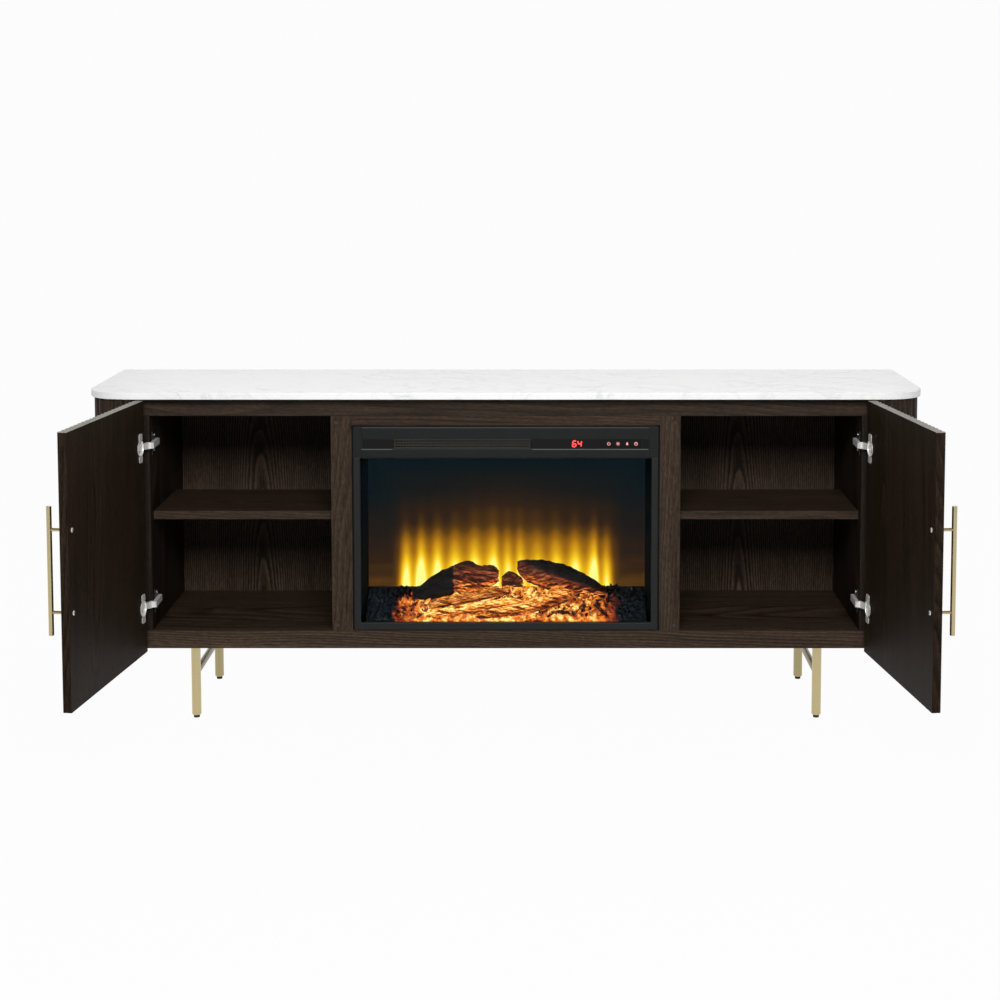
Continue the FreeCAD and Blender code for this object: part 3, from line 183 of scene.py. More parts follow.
def object_space(helper):
    return helper.add("ShaderNodeTexCoord").outputs["Object"]


def upward(helper):
    """How far the surface faces up."""
    return helper.split(helper.add("ShaderNodeTexCoord").outputs["Normal"])[2]


def scaled(colour, share):
    return tuple(share * part for part in colour)


# Shared effects and finishes
VECTOR, FLOAT, COLOUR = "NodeSocketVector", "NodeSocketFloat", "NodeSocketColor"


def oak_group():
    """Open-grained oak with its pith along Z: rings, fine streaks, pores and a bump height."""
    tree, t, given, sink = group_tree(
        "oak_grain",
        [
            ("Vector", VECTOR, None), ("Rings", FLOAT, 150.0), ("Figure", FLOAT, 0.5),
            ("Tone", FLOAT, 1.0),
        ],
        [("Color", COLOUR), ("Roughness", FLOAT), ("Height", FLOAT)],
    )
    spot = given["Vector"]
    sway = t.stretched(spot, (6.0, 6.0, 1.6))
    aside, deep, _ = t.split(spot)
    reach = t.math("ADD", t.math("POWER", aside, 2.0), t.math("POWER", deep, 2.0))
    reach = t.fit(sway, 0.040, t.math("SQRT", reach))
    rings = t.math("FRACT", t.times(reach, given["Rings"]))
    rings = t.ramp(rings, [(0.0, 0.15), (0.55, 0.75), (0.80, 1.0), (0.97, 0.0), (1.0, 0.15)])
    streak = t.stretched(spot, (300.0, 300.0, 5.0), 3.0, 0.62)
    broad = t.stretched(spot, (34.0, 34.0, 1.5))
    pores = t.stretched(spot, (1100.0, 1100.0, 26.0))
    pores = t.ramp(pores, [(0.36, 1.0), (0.46, 0.0)])
    early = t.less(1.0, rings)
    lines = t.times(t.less(rings, 0.62), given["Figure"])
    shade = t.fit(streak, 0.75, lines)
    shade = t.fit(broad, 0.45, t.less(shade, 0.10))
    colour = t.ramp(shade, [
        (0.18, (0.0120, 0.0070, 0.0042)), (0.40, (0.0295, 0.0185, 0.0114)),
        (0.60, (0.0440, 0.0280, 0.0176)), (0.85, (0.0680, 0.0445, 0.0290)),
    ])
    darker = t.times(pores, t.fit(early, 0.5, 0.2))
    colour = t.mix(darker, colour, (0.006, 0.0035, 0.0025))
    mottle = t.stretched(spot, (300.0, 300.0, 80.0), 3.0, 0.6)
    tone = t.times(given["Tone"], t.fit(mottle, 1.7, 0.15))
    toned = t.add("ShaderNodeVectorMath", {"operation": "SCALE"}, i0=colour, Scale=tone)
    t.put(sink, "Color", toned.outputs[0])
    t.put(sink, "Roughness", t.fit(streak, 0.16, 0.46))
    height = t.less(t.times(streak, 0.35), t.times(pores, 0.6))
    t.put(sink, "Height", height)
    return tree


def brushed_group():
    """Fine scratches along Z and soft blotches, as a bump height and a roughness share."""
    tree, t, given, sink = group_tree(
        "brushed_metal", [("Vector", VECTOR, None)], [("Share", FLOAT), ("Height", FLOAT)],
    )
    lines = t.stretched(given["Vector"], (2600.0, 2600.0, 40.0), 2.0, 0.6)
    blotch = t.stretched(given["Vector"], (60.0, 60.0, 14.0))
    t.put(sink, "Share", t.fit(lines, 0.6, t.times(blotch, 0.4)))
    t.put(sink, "Height", lines)
    return tree


def powder_group():
    """The fine orange-peel grain of a powder coat."""
    tree, t, given, sink = group_tree(
        "powder_coat", [("Vector", VECTOR, None)], [("Share", FLOAT), ("Height", FLOAT)],
    )
    peel = t.noise(given["Vector"], 1500.0)
    wide = t.noise(given["Vector"], 22.0)
    t.put(sink, "Share", wide)
    t.put(sink, "Height", peel)
    return tree


OAK = oak_group()
BRUSHED = brushed_group()
POWDER = powder_group()
ALONG_X = (0, math.radians(90), 0)
ALONG_Y = (math.radians(90), 0, 0)
ALONG_Z = (0, 0, 0)
LEAN_X = (math.radians(3), math.radians(88), 0)
LEAN_Z = (math.radians(4), math.radians(1), 0)
# Paler colour for the doors' upward faces: a painted highlight.
PAINTED_TOP_HIGHLIGHT = (0.37, 0.35, 0.315)


def oak(name, turn, pith, rings, figure, tone, painted_top_light):
    """Oak veneer peeled from a log whose pith lies near a given point, along a given way.

    Where painted_top_light is set, faces that point up are paler: a painted highlight."""
    made, t, surface = material(name, Specular_IOR_Level=0.05 if painted_top_light else 0.12)
    from_pith = t.place(object_space(t), shift=scaled(pith, -1))
    spot = t.place(from_pith, turn=turn)
    grain = t.group(OAK, Vector=spot, Rings=rings, Figure=figure, Tone=tone)
    colour = grain.outputs["Color"]
    if painted_top_light:
        # Faces that point up take the paler colour: a painted highlight.
        top = t.math("GREATER_THAN", upward(t), 0.9)
        colour = t.mix(top, colour, t.mix(0.12, PAINTED_TOP_HIGHLIGHT, colour, "MULTIPLY"))
    t.put(surface, "Base Color", colour)
    t.put(surface, "Roughness", grain.outputs["Roughness"])
    t.put(surface, "Normal", t.bump(grain.outputs["Height"], 0.35, 0.0006))
    return made


def metal(name, colour, rough, spread, turn=ALONG_Z, bare=1.0):
    """A metal with brushing along one axis; bare is its share of mirror-like metal."""
    made, t, surface = material(name, Metallic=bare)
    lines = t.group(BRUSHED, Vector=t.place(object_space(t), turn=turn))
    share = lines.outputs["Share"]
    t.put(surface, "Base Color", t.mix(share, scaled(colour, 0.78), colour))
    t.put(surface, "Roughness", t.fit(share, spread, rough - spread / 2))
    t.put(surface, "Normal", t.bump(lines.outputs["Height"], 0.05, 0.0002))
    return made


def coated(name, colour, rough, shine, strength=0.12, fascia=False):
    """Powder-coated sheet metal; the fascia is darker in its recess and has a painted highlight
    line along its top.
    """
    made, t, surface = material(name, Specular_IOR_Level=shine)
    spot = object_space(t)
    peel = t.group(POWDER, Vector=spot)
    share = peel.outputs["Share"]
    coat = t.mix(share, colour, scaled(colour, 1.35))
    if fascia:
        across, deep, up = t.split(spot)
        out = t.math("ABSOLUTE", across)
        inside = t.math("LESS_THAN", out, RECESS_HALF + 0.002)
        # A pale line just under the fascia's top: a painted highlight.
        line = t.math("COMPARE", up, FASCIA[1].z - 0.0026, 0.0009)
        coat = t.mix(t.times(inside, line), coat, (0.050, 0.054, 0.053))
        seam = t.math("COMPARE", out, RECESS_HALF + 0.003, 0.0007)
        coat = t.mix(seam, coat, (0.002, 0.002, 0.002))
        recess = t.math("GREATER_THAN", deep, RECESS_FLOOR)
        coat = t.mix(recess, coat, scaled(colour, 0.32))
    t.put(surface, "Base Color", coat)
    t.put(surface, "Roughness", t.fit(share, 0.12, rough - 0.06))
    t.put(surface, "Normal", t.bump(peel.outputs["Height"], strength, 0.0002))
    return made


GRILLE_PITCHES = (0.00585, 0.0056)      # from web to web, across and up


def grille_coat():
    """Black perforated sheet, with painted glints where its webs cross between the holes."""
    made, t, surface = material("grille_coat", Specular_IOR_Level=0.1)
    spot = object_space(t)
    across, _, up = t.split(spot)
    centre = sum(GRILLE, Vector()) / 2
    glint = 1.0
    for along, pitch, middle in zip((across, up), GRILLE_PITCHES, (centre.x, centre.z)):
        share = t.math("FRACT", t.fit(along, 1 / pitch, 0.5 - middle / pitch))
        web = t.math("GREATER_THAN", t.math("ABSOLUTE", t.less(share, 0.5)), 0.32)
        glint = t.times(web, glint)
    peel = t.group(POWDER, Vector=spot)
    share = peel.outputs["Share"]
    coat = t.mix(share, (0.0024, 0.0023, 0.0021), (0.0042, 0.0040, 0.0036))
    # Pale colour where the webs cross: painted glints.
    glint_colour = t.mix(t.noise(spot, 160.0), (0.050, 0.046, 0.038), (0.27, 0.25, 0.205))
    t.put(surface, "Base Color", t.mix(glint, coat, glint_colour))
    t.put(surface, "Roughness", t.fit(share, 0.12, 0.30))
    t.put(surface, "Normal", t.bump(peel.outputs["Height"], 0.12, 0.0002))
    return made


def moulded(name, colour, rough, strength=0.08, scale=900.0):
    """Moulded plastic or rubber with a fine texture."""
    made, t, surface = material(name)
    grain = t.noise(object_space(t), scale)
    t.put(surface, "Base Color", t.mix(grain, scaled(colour, 0.7), colour))
    t.put(surface, "Roughness", t.fit(grain, 0.14, rough - 0.07))
    t.put(surface, "Normal", t.bump(grain, strength, 0.0003))
    return made


def stone():
    """White marble look: soft clouds, a few thin branching grey veins and a fine speckle."""
    made, t, surface = material("marble_top", Roughness=0.24, Specular_IOR_Level=0.4)
    spot = object_space(t)
    warp = t.add("ShaderNodeTexNoise", Vector=spot, Scale=2.6, Detail=3.0, Roughness=0.55)
    bent = t.add("ShaderNodeVectorMath", {"operation": "MULTIPLY_ADD"})
    t.put(bent, "i0", warp.outputs[1])
    t.put(bent, "i1", (0.5, 0.5, 0.5))
    t.put(bent, "i2", spot)
    bent = t.place(bent.outputs[0], turn=(0, 0, 0.5))
    veins = t.stretched(bent, (3.4, 7.5, 7.5), 6.0, 0.62)
    line = t.math("ABSOLUTE", t.less(veins, 0.5))
    line = t.ramp(line, [(0.0, 1.0), (0.010, 0.40), (0.035, 0.0)], "EASE")
    fine = t.stretched(bent, (11.0, 26.0, 26.0), 5.0, 0.6)
    thin = t.math("ABSOLUTE", t.less(fine, 0.53))
    thin = t.ramp(thin, [(0.0, 1.0), (0.016, 0.0)], "EASE")
    cloud = t.ramp(t.noise(spot, 3.2, 3.0, 0.5), [(0.35, 0.0), (0.7, 1.0)])
    vein = t.times(line, t.fit(cloud, 0.5, 0.08))
    thin = t.times(thin, t.fit(cloud, 0.26, 0.04))
    vein = t.math("ADD", vein, thin, clamp=True)
    base = t.mix(cloud, (0.915, 0.915, 0.91), (0.89, 0.893, 0.895))
    t.put(surface, "Base Color", t.mix(vein, base, (0.56, 0.57, 0.58)))
    return made


def gloss(name, colour):
    """Glossy black plastic or coated glass with a faint smear."""
    made, t, surface = material(name, Base_Color=(*colour, 1), Specular_IOR_Level=0.12)
    smear = t.stretched(object_space(t), (9.0, 9.0, 3.0))
    t.put(surface, "Roughness", t.fit(smear, 0.06, 0.03))
    return made


def clear_glass():
    made, t, surface = material(
        "fire_glass", Base_Color=(0.86, 0.89, 0.90, 1), Transmission_Weight=1.0, IOR=1.12,
        Specular_Tint=(0.16, 0.19, 0.21, 1),
    )
    smear = t.stretched(object_space(t), (6.0, 6.0, 2.0))
    t.put(surface, "Roughness", t.times(smear, 0.02))
    return made


def glow(name, colour, strength):
    """A lit symbol behind dark glass, a little uneven."""
    made, t, surface = material(
        name, Base_Color=(*scaled(colour, 0.3), 1), Roughness=0.4, Emission_Strength=strength,
    )
    grain = t.noise(object_space(t), 700.0, 1.0, 0.5)
    t.put(surface, "Emission Color", t.mix(grain, scaled(colour, 0.75), colour))
    return made


# Flames on the screen

# Middles of the flame streaks, in metres from the screen's middle, and their strengths.
STREAKS = (
    (-0.220, 0.80), (-0.189, 1.00), (-0.153, 0.92), (-0.113, 0.80), (-0.070, 0.84), (-0.028, 0.86),
    (0.001, 0.66), (0.028, 0.72), (0.066, 0.62), (0.106, 0.76), (0.1485, 0.86), (0.191, 1.00),
    (0.219, 0.62),
)
FLAME_FOOT, FLAME_REACH = 0.072, 0.30      # over the firebox floor, and from there up


def flame_screen():
    """Smoked diffuser with a row of soft flame streaks thrown on it from behind."""
    made, t, surface = material(
        "flame_picture", Base_Color=(0.0008, 0.0010, 0.0012, 1), Roughness=0.5,
        Specular_IOR_Level=0.0, Emission_Strength=1.3,
    )
    spot = object_space(t)
    across, _, level = t.split(spot)
    wobble = t.stretched(spot, (14.0, 1.0, 5.0))
    wide = 2 * SCREEN[1].x
    share = t.fit(t.math("ADD", across, t.fit(wobble, 0.014, -0.007)), 1 / wide, 0.5)
    peaks = [0.5 + place / wide for place, _ in STREAKS]
    stops = [(peaks[0] - 0.038, 0.0)]
    for count, (peak, (_, power)) in enumerate(zip(peaks, STREAKS)):
        stops.append((peak, power))
        if count + 1 < len(peaks):
            gap = (peak + peaks[count + 1]) / 2
            stops.append((gap, 0.46 * min(power, STREAKS[count + 1][1])))
    stops.append((peaks[-1] + 0.034, 0.0))
    streak = t.ramp(share, stops, "EASE")
    up = t.times(t.less(level, FLOOR + FLAME_FOOT), 1 / FLAME_REACH)
    sharpen = t.ramp(up, [(0.0, 0.66), (0.14, 0.74), (0.30, 0.88), (0.5, 1.0)])
    streak = t.math("POWER", streak, t.times(sharpen, 1.5))
    rise = t.ramp(up, [
        (0.0, 1.20), (0.08, 1.04), (0.17, 0.78), (0.26, 0.51), (0.36, 0.28), (0.47, 0.12),
        (0.60, 0.04), (0.74, 0.0),
    ])
    haze_across = t.ramp(
        share, [(0.0, 0.10), (0.14, 0.62), (0.5, 1.0), (0.86, 0.62), (1.0, 0.10)], "EASE"
    )
    haze_up = t.ramp(
        up, [(0.0, 0.26), (0.25, 0.28), (0.5, 0.22), (0.75, 0.10), (0.95, 0.0)], "EASE"
    )
    haze = t.times(haze_across, haze_up)
    rays = t.stretched(spot, (7.0, 1.0, 50.0))
    low = t.ramp(up, [(0.0, 0.30), (0.10, 0.22), (0.45, 0.10), (0.8, 0.0)], "EASE")
    low = t.times(low, t.fit(rays, 0.7, 0.65))
    row = t.ramp(share, [
        (peaks[0] - 0.085, 0.0), (peaks[0], 0.80), (0.5, 0.72), (peaks[-1], 0.80),
        (peaks[-1] + 0.085, 0.0),
    ], "EASE")
    fill = t.ramp(up, [(0.0, 0.46), (0.12, 0.40), (0.28, 0.24), (0.5, 0.0)], "EASE")
    fill = t.times(row, fill)
    flame = t.times(streak, rise, clamp=True)
    unlit = t.times(t.less(1.0, fill), t.less(1.0, flame))
    heat = t.math("MAXIMUM", t.math("ADD", t.less(1.0, unlit), haze), low)
    colour = t.ramp(heat, [
        (0.0, (0.0028, 0.0074, 0.0100)), (0.08, (0.0080, 0.0082, 0.0078)),
        (0.20, (0.0290, 0.0136, 0.0062)), (0.34, (0.0980, 0.0410, 0.0055)),
        (0.52, (0.3200, 0.1280, 0.0055)), (0.70, (0.6200, 0.3050, 0.0070)),
        (0.86, (0.9000, 0.5700, 0.0160)), (1.00, (1.0000, 0.9000, 0.2400)),
    ])
    t.put(surface, "Emission Color", colour)
    return made


# Looks of the embers and the logs

EMBER_FOOT = 0.020       # height over which the bed goes dark towards the firebox floor


def ember_material(name, cool, warm, hot, power):
    """Moulded resin lit from below in the middle of the bed, and dead coal beyond it."""
    made, t, surface = material(
        name, Roughness=0.62, Specular_IOR_Level=0.1, Emission_Strength=power,
    )
    spot = object_space(t)
    across, deep, level = t.split(spot)
    lumps = t.noise(spot, 85.0, 4.0, 0.62)
    patch = t.noise(spot, 24.0)
    reach = BED[1].y - BED[0].y
    back = t.fit(deep, 1 / reach, -BED[0].y / reach)
    narrow = t.ramp(back, [(0.45, 0.0), (0.95, 0.40)], "EASE")
    across = t.times(across, t.math("ADD", narrow, 1.0))
    ragged = t.fit(patch, 0.06, t.fit(lumps, 0.05, across))
    side = t.ramp(
        t.fit(ragged, 1 / 0.6, 0.408),
        [(0.085, 0.0), (0.125, 0.5), (0.19, 1.0), (0.81, 1.0), (0.875, 0.5), (0.915, 0.0)],
    )
    heat = t.fit(lumps, 3.0, t.fit(patch, 1.1, -1.43), clamp=True)
    heat = t.times(side, t.fit(heat, 0.86, 0.14))
    foot = t.fit(level, 1 / EMBER_FOOT, t.fit(lumps, 0.3, -0.15 - FLOOR / EMBER_FOOT))
    heat = t.times(heat, t.ramp(foot, [(0.52, 0.12), (0.80, 1.0)]))
    colour = t.ramp(heat, [(0.06, 0.0), (0.27, cool), (0.68, warm), (1.0, hot)])
    t.put(surface, "Emission Color", colour)
    crust = t.ramp(lumps, [(0.35, (0.001, 0.002, 0.0035)), (0.72, (0.010, 0.016, 0.022))])
    t.put(surface, "Base Color", crust)
    t.put(surface, "Normal", t.bump(t.noise(spot, 260.0, 3.0, 0.6), 0.6, 0.002))
    return made


def log_material(name, lean, char_line, char_top, power, bedded):
    """Bark, charred on one side of a line and towards its top, with light through its splits.

    A bedded log glows on its upper side, the others underneath, where the embers light them."""
    made, t, surface = material(
        name, Roughness=0.72, Specular_IOR_Level=0.15, Emission_Strength=power,
    )
    spot = object_space(t)
    across, _, level = t.split(spot)
    run = t.place(spot, turn=(0, lean, 0))
    bark = t.stretched(run, (24.0, 130.0, 150.0), 5.0, 0.62, 0.4)
    fibre = t.stretched(run, (40.0, 420.0, 520.0), 3.0, 0.6)
    start, end = char_line
    edge = t.fit(bark, 0.008, across)
    beyond = t.fit(edge, 1 / (end - start), -start / (end - start), clamp=True)
    top, fall = char_top
    slope = t.fit(across, fall, t.fit(bark, 0.050, level))
    crown = t.fit(slope, 90.0, -90.0 * (FLOOR + top), clamp=True)
    char = t.math("MAXIMUM", beyond, crown)
    brown = t.ramp(bark, [
        (0.41, (0.007, 0.0025, 0.0025)), (0.49, (0.045, 0.012, 0.007)),
        (0.57, (0.20, 0.050, 0.020)), (0.66, (0.56, 0.20, 0.085)),
    ])
    brown = t.mix(t.ramp(fibre, [(0.40, 0.75), (0.52, 0.0)]), brown, (0.010, 0.003, 0.003))
    black = t.ramp(bark, [(0.3, (0.002, 0.002, 0.003)), (0.8, (0.016, 0.014, 0.014))])
    t.put(surface, "Base Color", t.mix(char, brown, black))
    low = t.ramp(t.less(level, FLOOR), [(0.040, 1.0), (0.080, 0.50), (0.125, 0.0)], "EASE")
    gaps = t.ramp(fibre, [(0.42, 0.0), (0.60, 1.0)])
    if bedded:
        ridges = t.ramp(bark, [(0.37, 0.08), (0.54, 1.0)])
        glowing = t.fit(upward(t), 0.75, 0.50, clamp=True)
    else:
        ridges = t.ramp(bark, [(0.42, 0.0), (0.58, 1.0)])
        glowing = t.fit(upward(t), -1.2, 0.32, clamp=True)
    ridges = t.times(ridges, t.fit(glowing, 1.3, 0.12))
    lit = t.times(t.fit(low, 0.72, 0.28), ridges)
    lit = t.times(lit, t.fit(gaps, 0.6, 0.4))
    lit = t.times(lit, t.less(1.0, char), clamp=True)
    colour = t.ramp(lit, [
        (0.0, (0.010, 0.0025, 0.001)), (0.15, (0.10, 0.014, 0.003)),
        (0.42, (0.62, 0.125, 0.010)), (0.70, (1.0, 0.43, 0.05)), (1.0, (1.0, 0.80, 0.26)),
    ])
    t.put(surface, "Emission Color", t.mix(char, colour, (0.0, 0.0, 0.0)))
    rise = t.fit(bark, 1.0, t.times(fibre, 0.5))
    t.put(surface, "Normal", t.bump(rise, 1.0, 0.005))
    return made


# Making pieces
def finished(name, shape, looks, smooth=False):
    """Turn a finished bmesh into an object with its looks, its faces pointing outwards."""
    bmesh.ops.recalc_face_normals(shape, faces=shape.faces)
    for face in shape.faces:
        face.smooth = smooth
    data = bpy.data.meshes.new(name)
    shape.to_mesh(data)
    shape.free()
    item = bpy.data.objects.new(name, data)
    bpy.context.scene.collection.objects.link(item)
    for look in looks:
        data.materials.append(look)
    return item


def mesh_piece(name, shape, looks, body, smooth=False):
    """A finished piece with its body."""
    item = finished(name, shape, looks, smooth)
    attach(item, body)
    return item


def box_piece(shape, low, high):
    """Add a box between two corners."""
    low, high = Vector(low), Vector(high)
    bmesh.ops.create_cube(
        shape, size=1,
        matrix=Matrix.Translation((low + high) / 2) @ Matrix.Diagonal((*(high - low), 1)),
    )


def ease(shape, width):
    """Break every edge of a shape. On one that is inside out the edges would bulge instead."""
    bmesh.ops.recalc_face_normals(shape, faces=shape.faces)
    bmesh.ops.bevel(
        shape, geom=shape.edges[:], offset=width, offset_type="OFFSET", segments=2,
        profile=0.5, affect="EDGES", material=-1, clamp_overlap=True,
    )


# Ember bed and logs

# The bed's slope, as shares of its depth and heights over the firebox floor.
BED_LINE = ((0.0, 0.020), (0.45, 0.048), (1.0, 0.075))


def bed_height(deep):
    """Height of the slope over the floor at a share of the bed's depth."""
    for (start, low), (end, high) in zip(BED_LINE, BED_LINE[1:]):
        if deep <= end:
            return low + (high - low) * (deep - start) / (end - start)
    return BED_LINE[-1][1]


def ember_tray():
    """A moulded slope of embers: a fine grid with a skirt down to the floor."""
    shape = bmesh.new()
    bmesh.ops.create_grid(shape, x_segments=300, y_segments=56, size=0.5)
    rim = [edge for edge in shape.edges if edge.is_boundary]
    skirt = bmesh.ops.extrude_edge_only(shape, edges=rim)["geom"]
    foot = {part for part in skirt if isinstance(part, bmesh.types.BMVert)}
    bmesh.ops.holes_fill(shape, edges=[e for e in shape.edges if e.is_boundary])
    low, size = BED[0], BED[1] - BED[0]
    for vert in shape.verts:
        across, deep = vert.co.x + 0.5, vert.co.y + 0.5
        spot = Vector((low.x + size.x * across, low.y + size.y * deep, 0.0))
        edge = min(1.0, 60 * across, 60 * (1 - across), 12 * deep, 12 * (1 - deep))
        chips = abs(noise.fractal(spot * 75.0, 1.0, 2.0, 4))
        waves = noise.fractal(spot * 20.0, 1.0, 2.0, 2)
        spot.z = FLOOR + bed_height(deep) - 0.003 + (0.011 * chips + 0.004 * waves) * edge
        if vert in foot:
            spot.z = FLOOR
        vert.co = spot
    return shape


def cinders(count, seed, looks, reach, sizes):
    """Broken flakes of coal that lie thick on the slope, each with one of several looks."""
    shape = bmesh.new()
    chooser = random.Random(seed)
    for _ in range(count):
        x = chooser.uniform(*reach)
        deep = chooser.uniform(0.03, 0.95)
        size = chooser.uniform(*sizes) * (1.15 - 0.4 * deep)
        at = Vector((x, BED[0].y + 0.004 + deep * (BED[1].y - BED[0].y - 0.008), 0.0))
        at.z = FLOOR + bed_height(deep) + 0.4 * size + 0.004 * noise.noise(at * 30.0)
        axis = Vector([chooser.uniform(-1, 1) for _ in range(3)]).normalized()
        turn = Matrix.Rotation(chooser.uniform(0, math.tau), 4, axis)
        stretch = Matrix.Diagonal((chooser.uniform(1.0, 2.1), chooser.uniform(0.6, 1.0), 0.55, 1))
        made = bmesh.ops.create_icosphere(
            shape, subdivisions=1, radius=size, matrix=Matrix.Translation(at) @ turn @ stretch,
        )
        look = chooser.choice(looks)
        for vert in made["verts"]:
            vert.co += (vert.co - at) * chooser.uniform(-0.32, 0.20)
        for face in {face for vert in made["verts"] for face in vert.link_faces}:
            face.material_index = look
    return shape


# Logs: stations as place across, place into the bed, height over the floor, half height and
# half depth in metres; then the line beyond which it is charred, the height over which its
# crown is charred with that height's fall to the right, its strength of light, the lean of its
# grain, its seed, and whether it lies in the embers.
NOT_CHARRED = ((0.50, 0.60), (0.30, 0.0))
LOGS = {
    "log_left": (
        ((-0.202, 0.040, 0.062, 0.007, 0.008), (-0.182, 0.042, 0.069, 0.017, 0.014),
         (-0.150, 0.044, 0.082, 0.027, 0.019), (-0.117, 0.045, 0.094, 0.031, 0.022),
         (-0.098, 0.045, 0.102, 0.033, 0.022), (-0.079, 0.044, 0.103, 0.034, 0.022),
         (-0.064, 0.042, 0.099, 0.030, 0.021), (-0.046, 0.040, 0.101, 0.026, 0.020),
         (-0.030, 0.038, 0.106, 0.021, 0.018), (-0.019, 0.036, 0.106, 0.015, 0.015)),
        (-0.108, -0.112), (0.143, 0.10), 2.1, -0.15, 3, False,
    ),
    "log_right": (
        ((0.026, 0.034, 0.126, 0.013, 0.014), (0.037, 0.036, 0.121, 0.019, 0.018),
         (0.054, 0.038, 0.116, 0.025, 0.021), (0.078, 0.040, 0.109, 0.030, 0.022),
         (0.102, 0.042, 0.102, 0.031, 0.022), (0.136, 0.044, 0.094, 0.028, 0.021),
         (0.168, 0.045, 0.085, 0.022, 0.018), (0.194, 0.046, 0.075, 0.017, 0.014),
         (0.214, 0.046, 0.068, 0.008, 0.008)),
        (0.50, 0.60), (0.1725, 0.390), 1.2, 0.28, 8, False,
    ),
    "log_middle": (
        ((-0.008, 0.042, 0.090, 0.013, 0.014), (0.004, 0.043, 0.096, 0.017, 0.016),
         (0.018, 0.044, 0.093, 0.016, 0.016), (0.034, 0.046, 0.086, 0.012, 0.013)),
        *NOT_CHARRED, 1.7, 0.2, 15, False,
    ),
    "log_upper": (
        ((-0.164, 0.024, 0.041, 0.006, 0.007), (-0.140, 0.025, 0.048, 0.009, 0.009),
         (-0.100, 0.026, 0.056, 0.011, 0.011), (-0.060, 0.027, 0.064, 0.011, 0.011),
         (-0.025, 0.028, 0.070, 0.009, 0.010), (0.006, 0.029, 0.073, 0.006, 0.007)),
        *NOT_CHARRED, 0.85, -0.2, 21, True,
    ),
    "log_middle_low": (
        ((-0.172, 0.010, 0.022, 0.006, 0.006), (-0.140, 0.012, 0.029, 0.009, 0.008),
         (-0.090, 0.014, 0.036, 0.010, 0.010), (-0.040, 0.016, 0.044, 0.010, 0.010),
         (0.000, 0.018, 0.051, 0.010, 0.010), (0.034, 0.019, 0.052, 0.007, 0.008)),
        *NOT_CHARRED, 1.4, -0.16, 27, True,
    ),
    "log_front": (
        ((-0.072, 0.006, 0.019, 0.007, 0.005), (-0.040, 0.008, 0.026, 0.011, 0.007),
         (0.004, 0.012, 0.032, 0.014, 0.010), (0.044, 0.016, 0.041, 0.015, 0.012),
         (0.080, 0.020, 0.051, 0.016, 0.013), (0.110, 0.023, 0.060, 0.016, 0.013),
         (0.133, 0.025, 0.065, 0.013, 0.011)),
        *NOT_CHARRED, 1.3, -0.22, 33, True,
    ),
}
AROUND = 60      # faces round a log
ALONG = 110      # rings along it


def station(points, along):
    """Run smoothly through a log's stations."""
    reach = along * (len(points) - 1)
    count = min(int(reach), len(points) - 2)
    s = reach - count
    four = [points[min(max(place, 0), len(points) - 1)] for place in range(count - 1, count + 3)]
    return [
        0.5 * (2 * b + (c - a) * s + (2 * a - 5 * b + 4 * c - d) * s ** 2
               + (3 * b - a - 3 * c + d) * s ** 3)
        for a, b, c, d in zip(*four)
    ]


def split_log(points, seed):
    """A split log: a tube along X with ringed ends, bent to its line and roughened as bark."""
    shape = bmesh.new()
    bmesh.ops.create_cone(
        shape, segments=AROUND, radius1=1, radius2=1, depth=1, cap_ends=True,
        matrix=Matrix.Rotation(math.radians(90), 4, "Y"),
    )
    sides = [edge for edge in shape.edges if abs(edge.verts[0].co.x - edge.verts[1].co.x) > 0.5]
    bmesh.ops.subdivide_edges(shape, edges=sides, cuts=ALONG, use_grid_fill=True)
    caps = [face for face in shape.faces if len(face.verts) == AROUND]
    for depth in (0.28, 0.30, 0.22):
        bmesh.ops.inset_individual(shape, faces=caps, thickness=depth, use_even_offset=True)
    for vert in shape.verts:
        along, out = vert.co.x + 0.5, Vector((0, vert.co.y, vert.co.z))
        x, deep, up, tall, thick = station(points, along)
        key = out * 2.0 + Vector((x * 11.0 + seed, 0, 0))
        ridge = noise.fractal(key * 1.7, 1.0, 2.1, 4)
        groove = noise.fractal(Vector((key.x * 0.8, key.y * 4.5, key.z * 4.5)), 1.0, 2.0, 3)
        lump = noise.noise(key * 0.9)
        chip = abs(noise.noise(Vector((x * 75.0 + seed, out.y * 3.0, out.z * 3.0))))
        swell = 0.93 + 0.15 * ridge + 0.10 * groove + 0.12 * lump + 0.16 * chip
        near_end = min(along, 1 - along)
        swell *= min(1.0, 0.80 + 6 * near_end)
        jag = 0.006 * noise.noise(key * 3.1) * max(0.0, 1 - 30 * near_end)
        vert.co = Vector((
            x + jag, BED[0].y + deep + thick * swell * out.y, FLOOR + up + tall * swell * out.z,
        ))
    return shape


# Dressing the CAD nodes

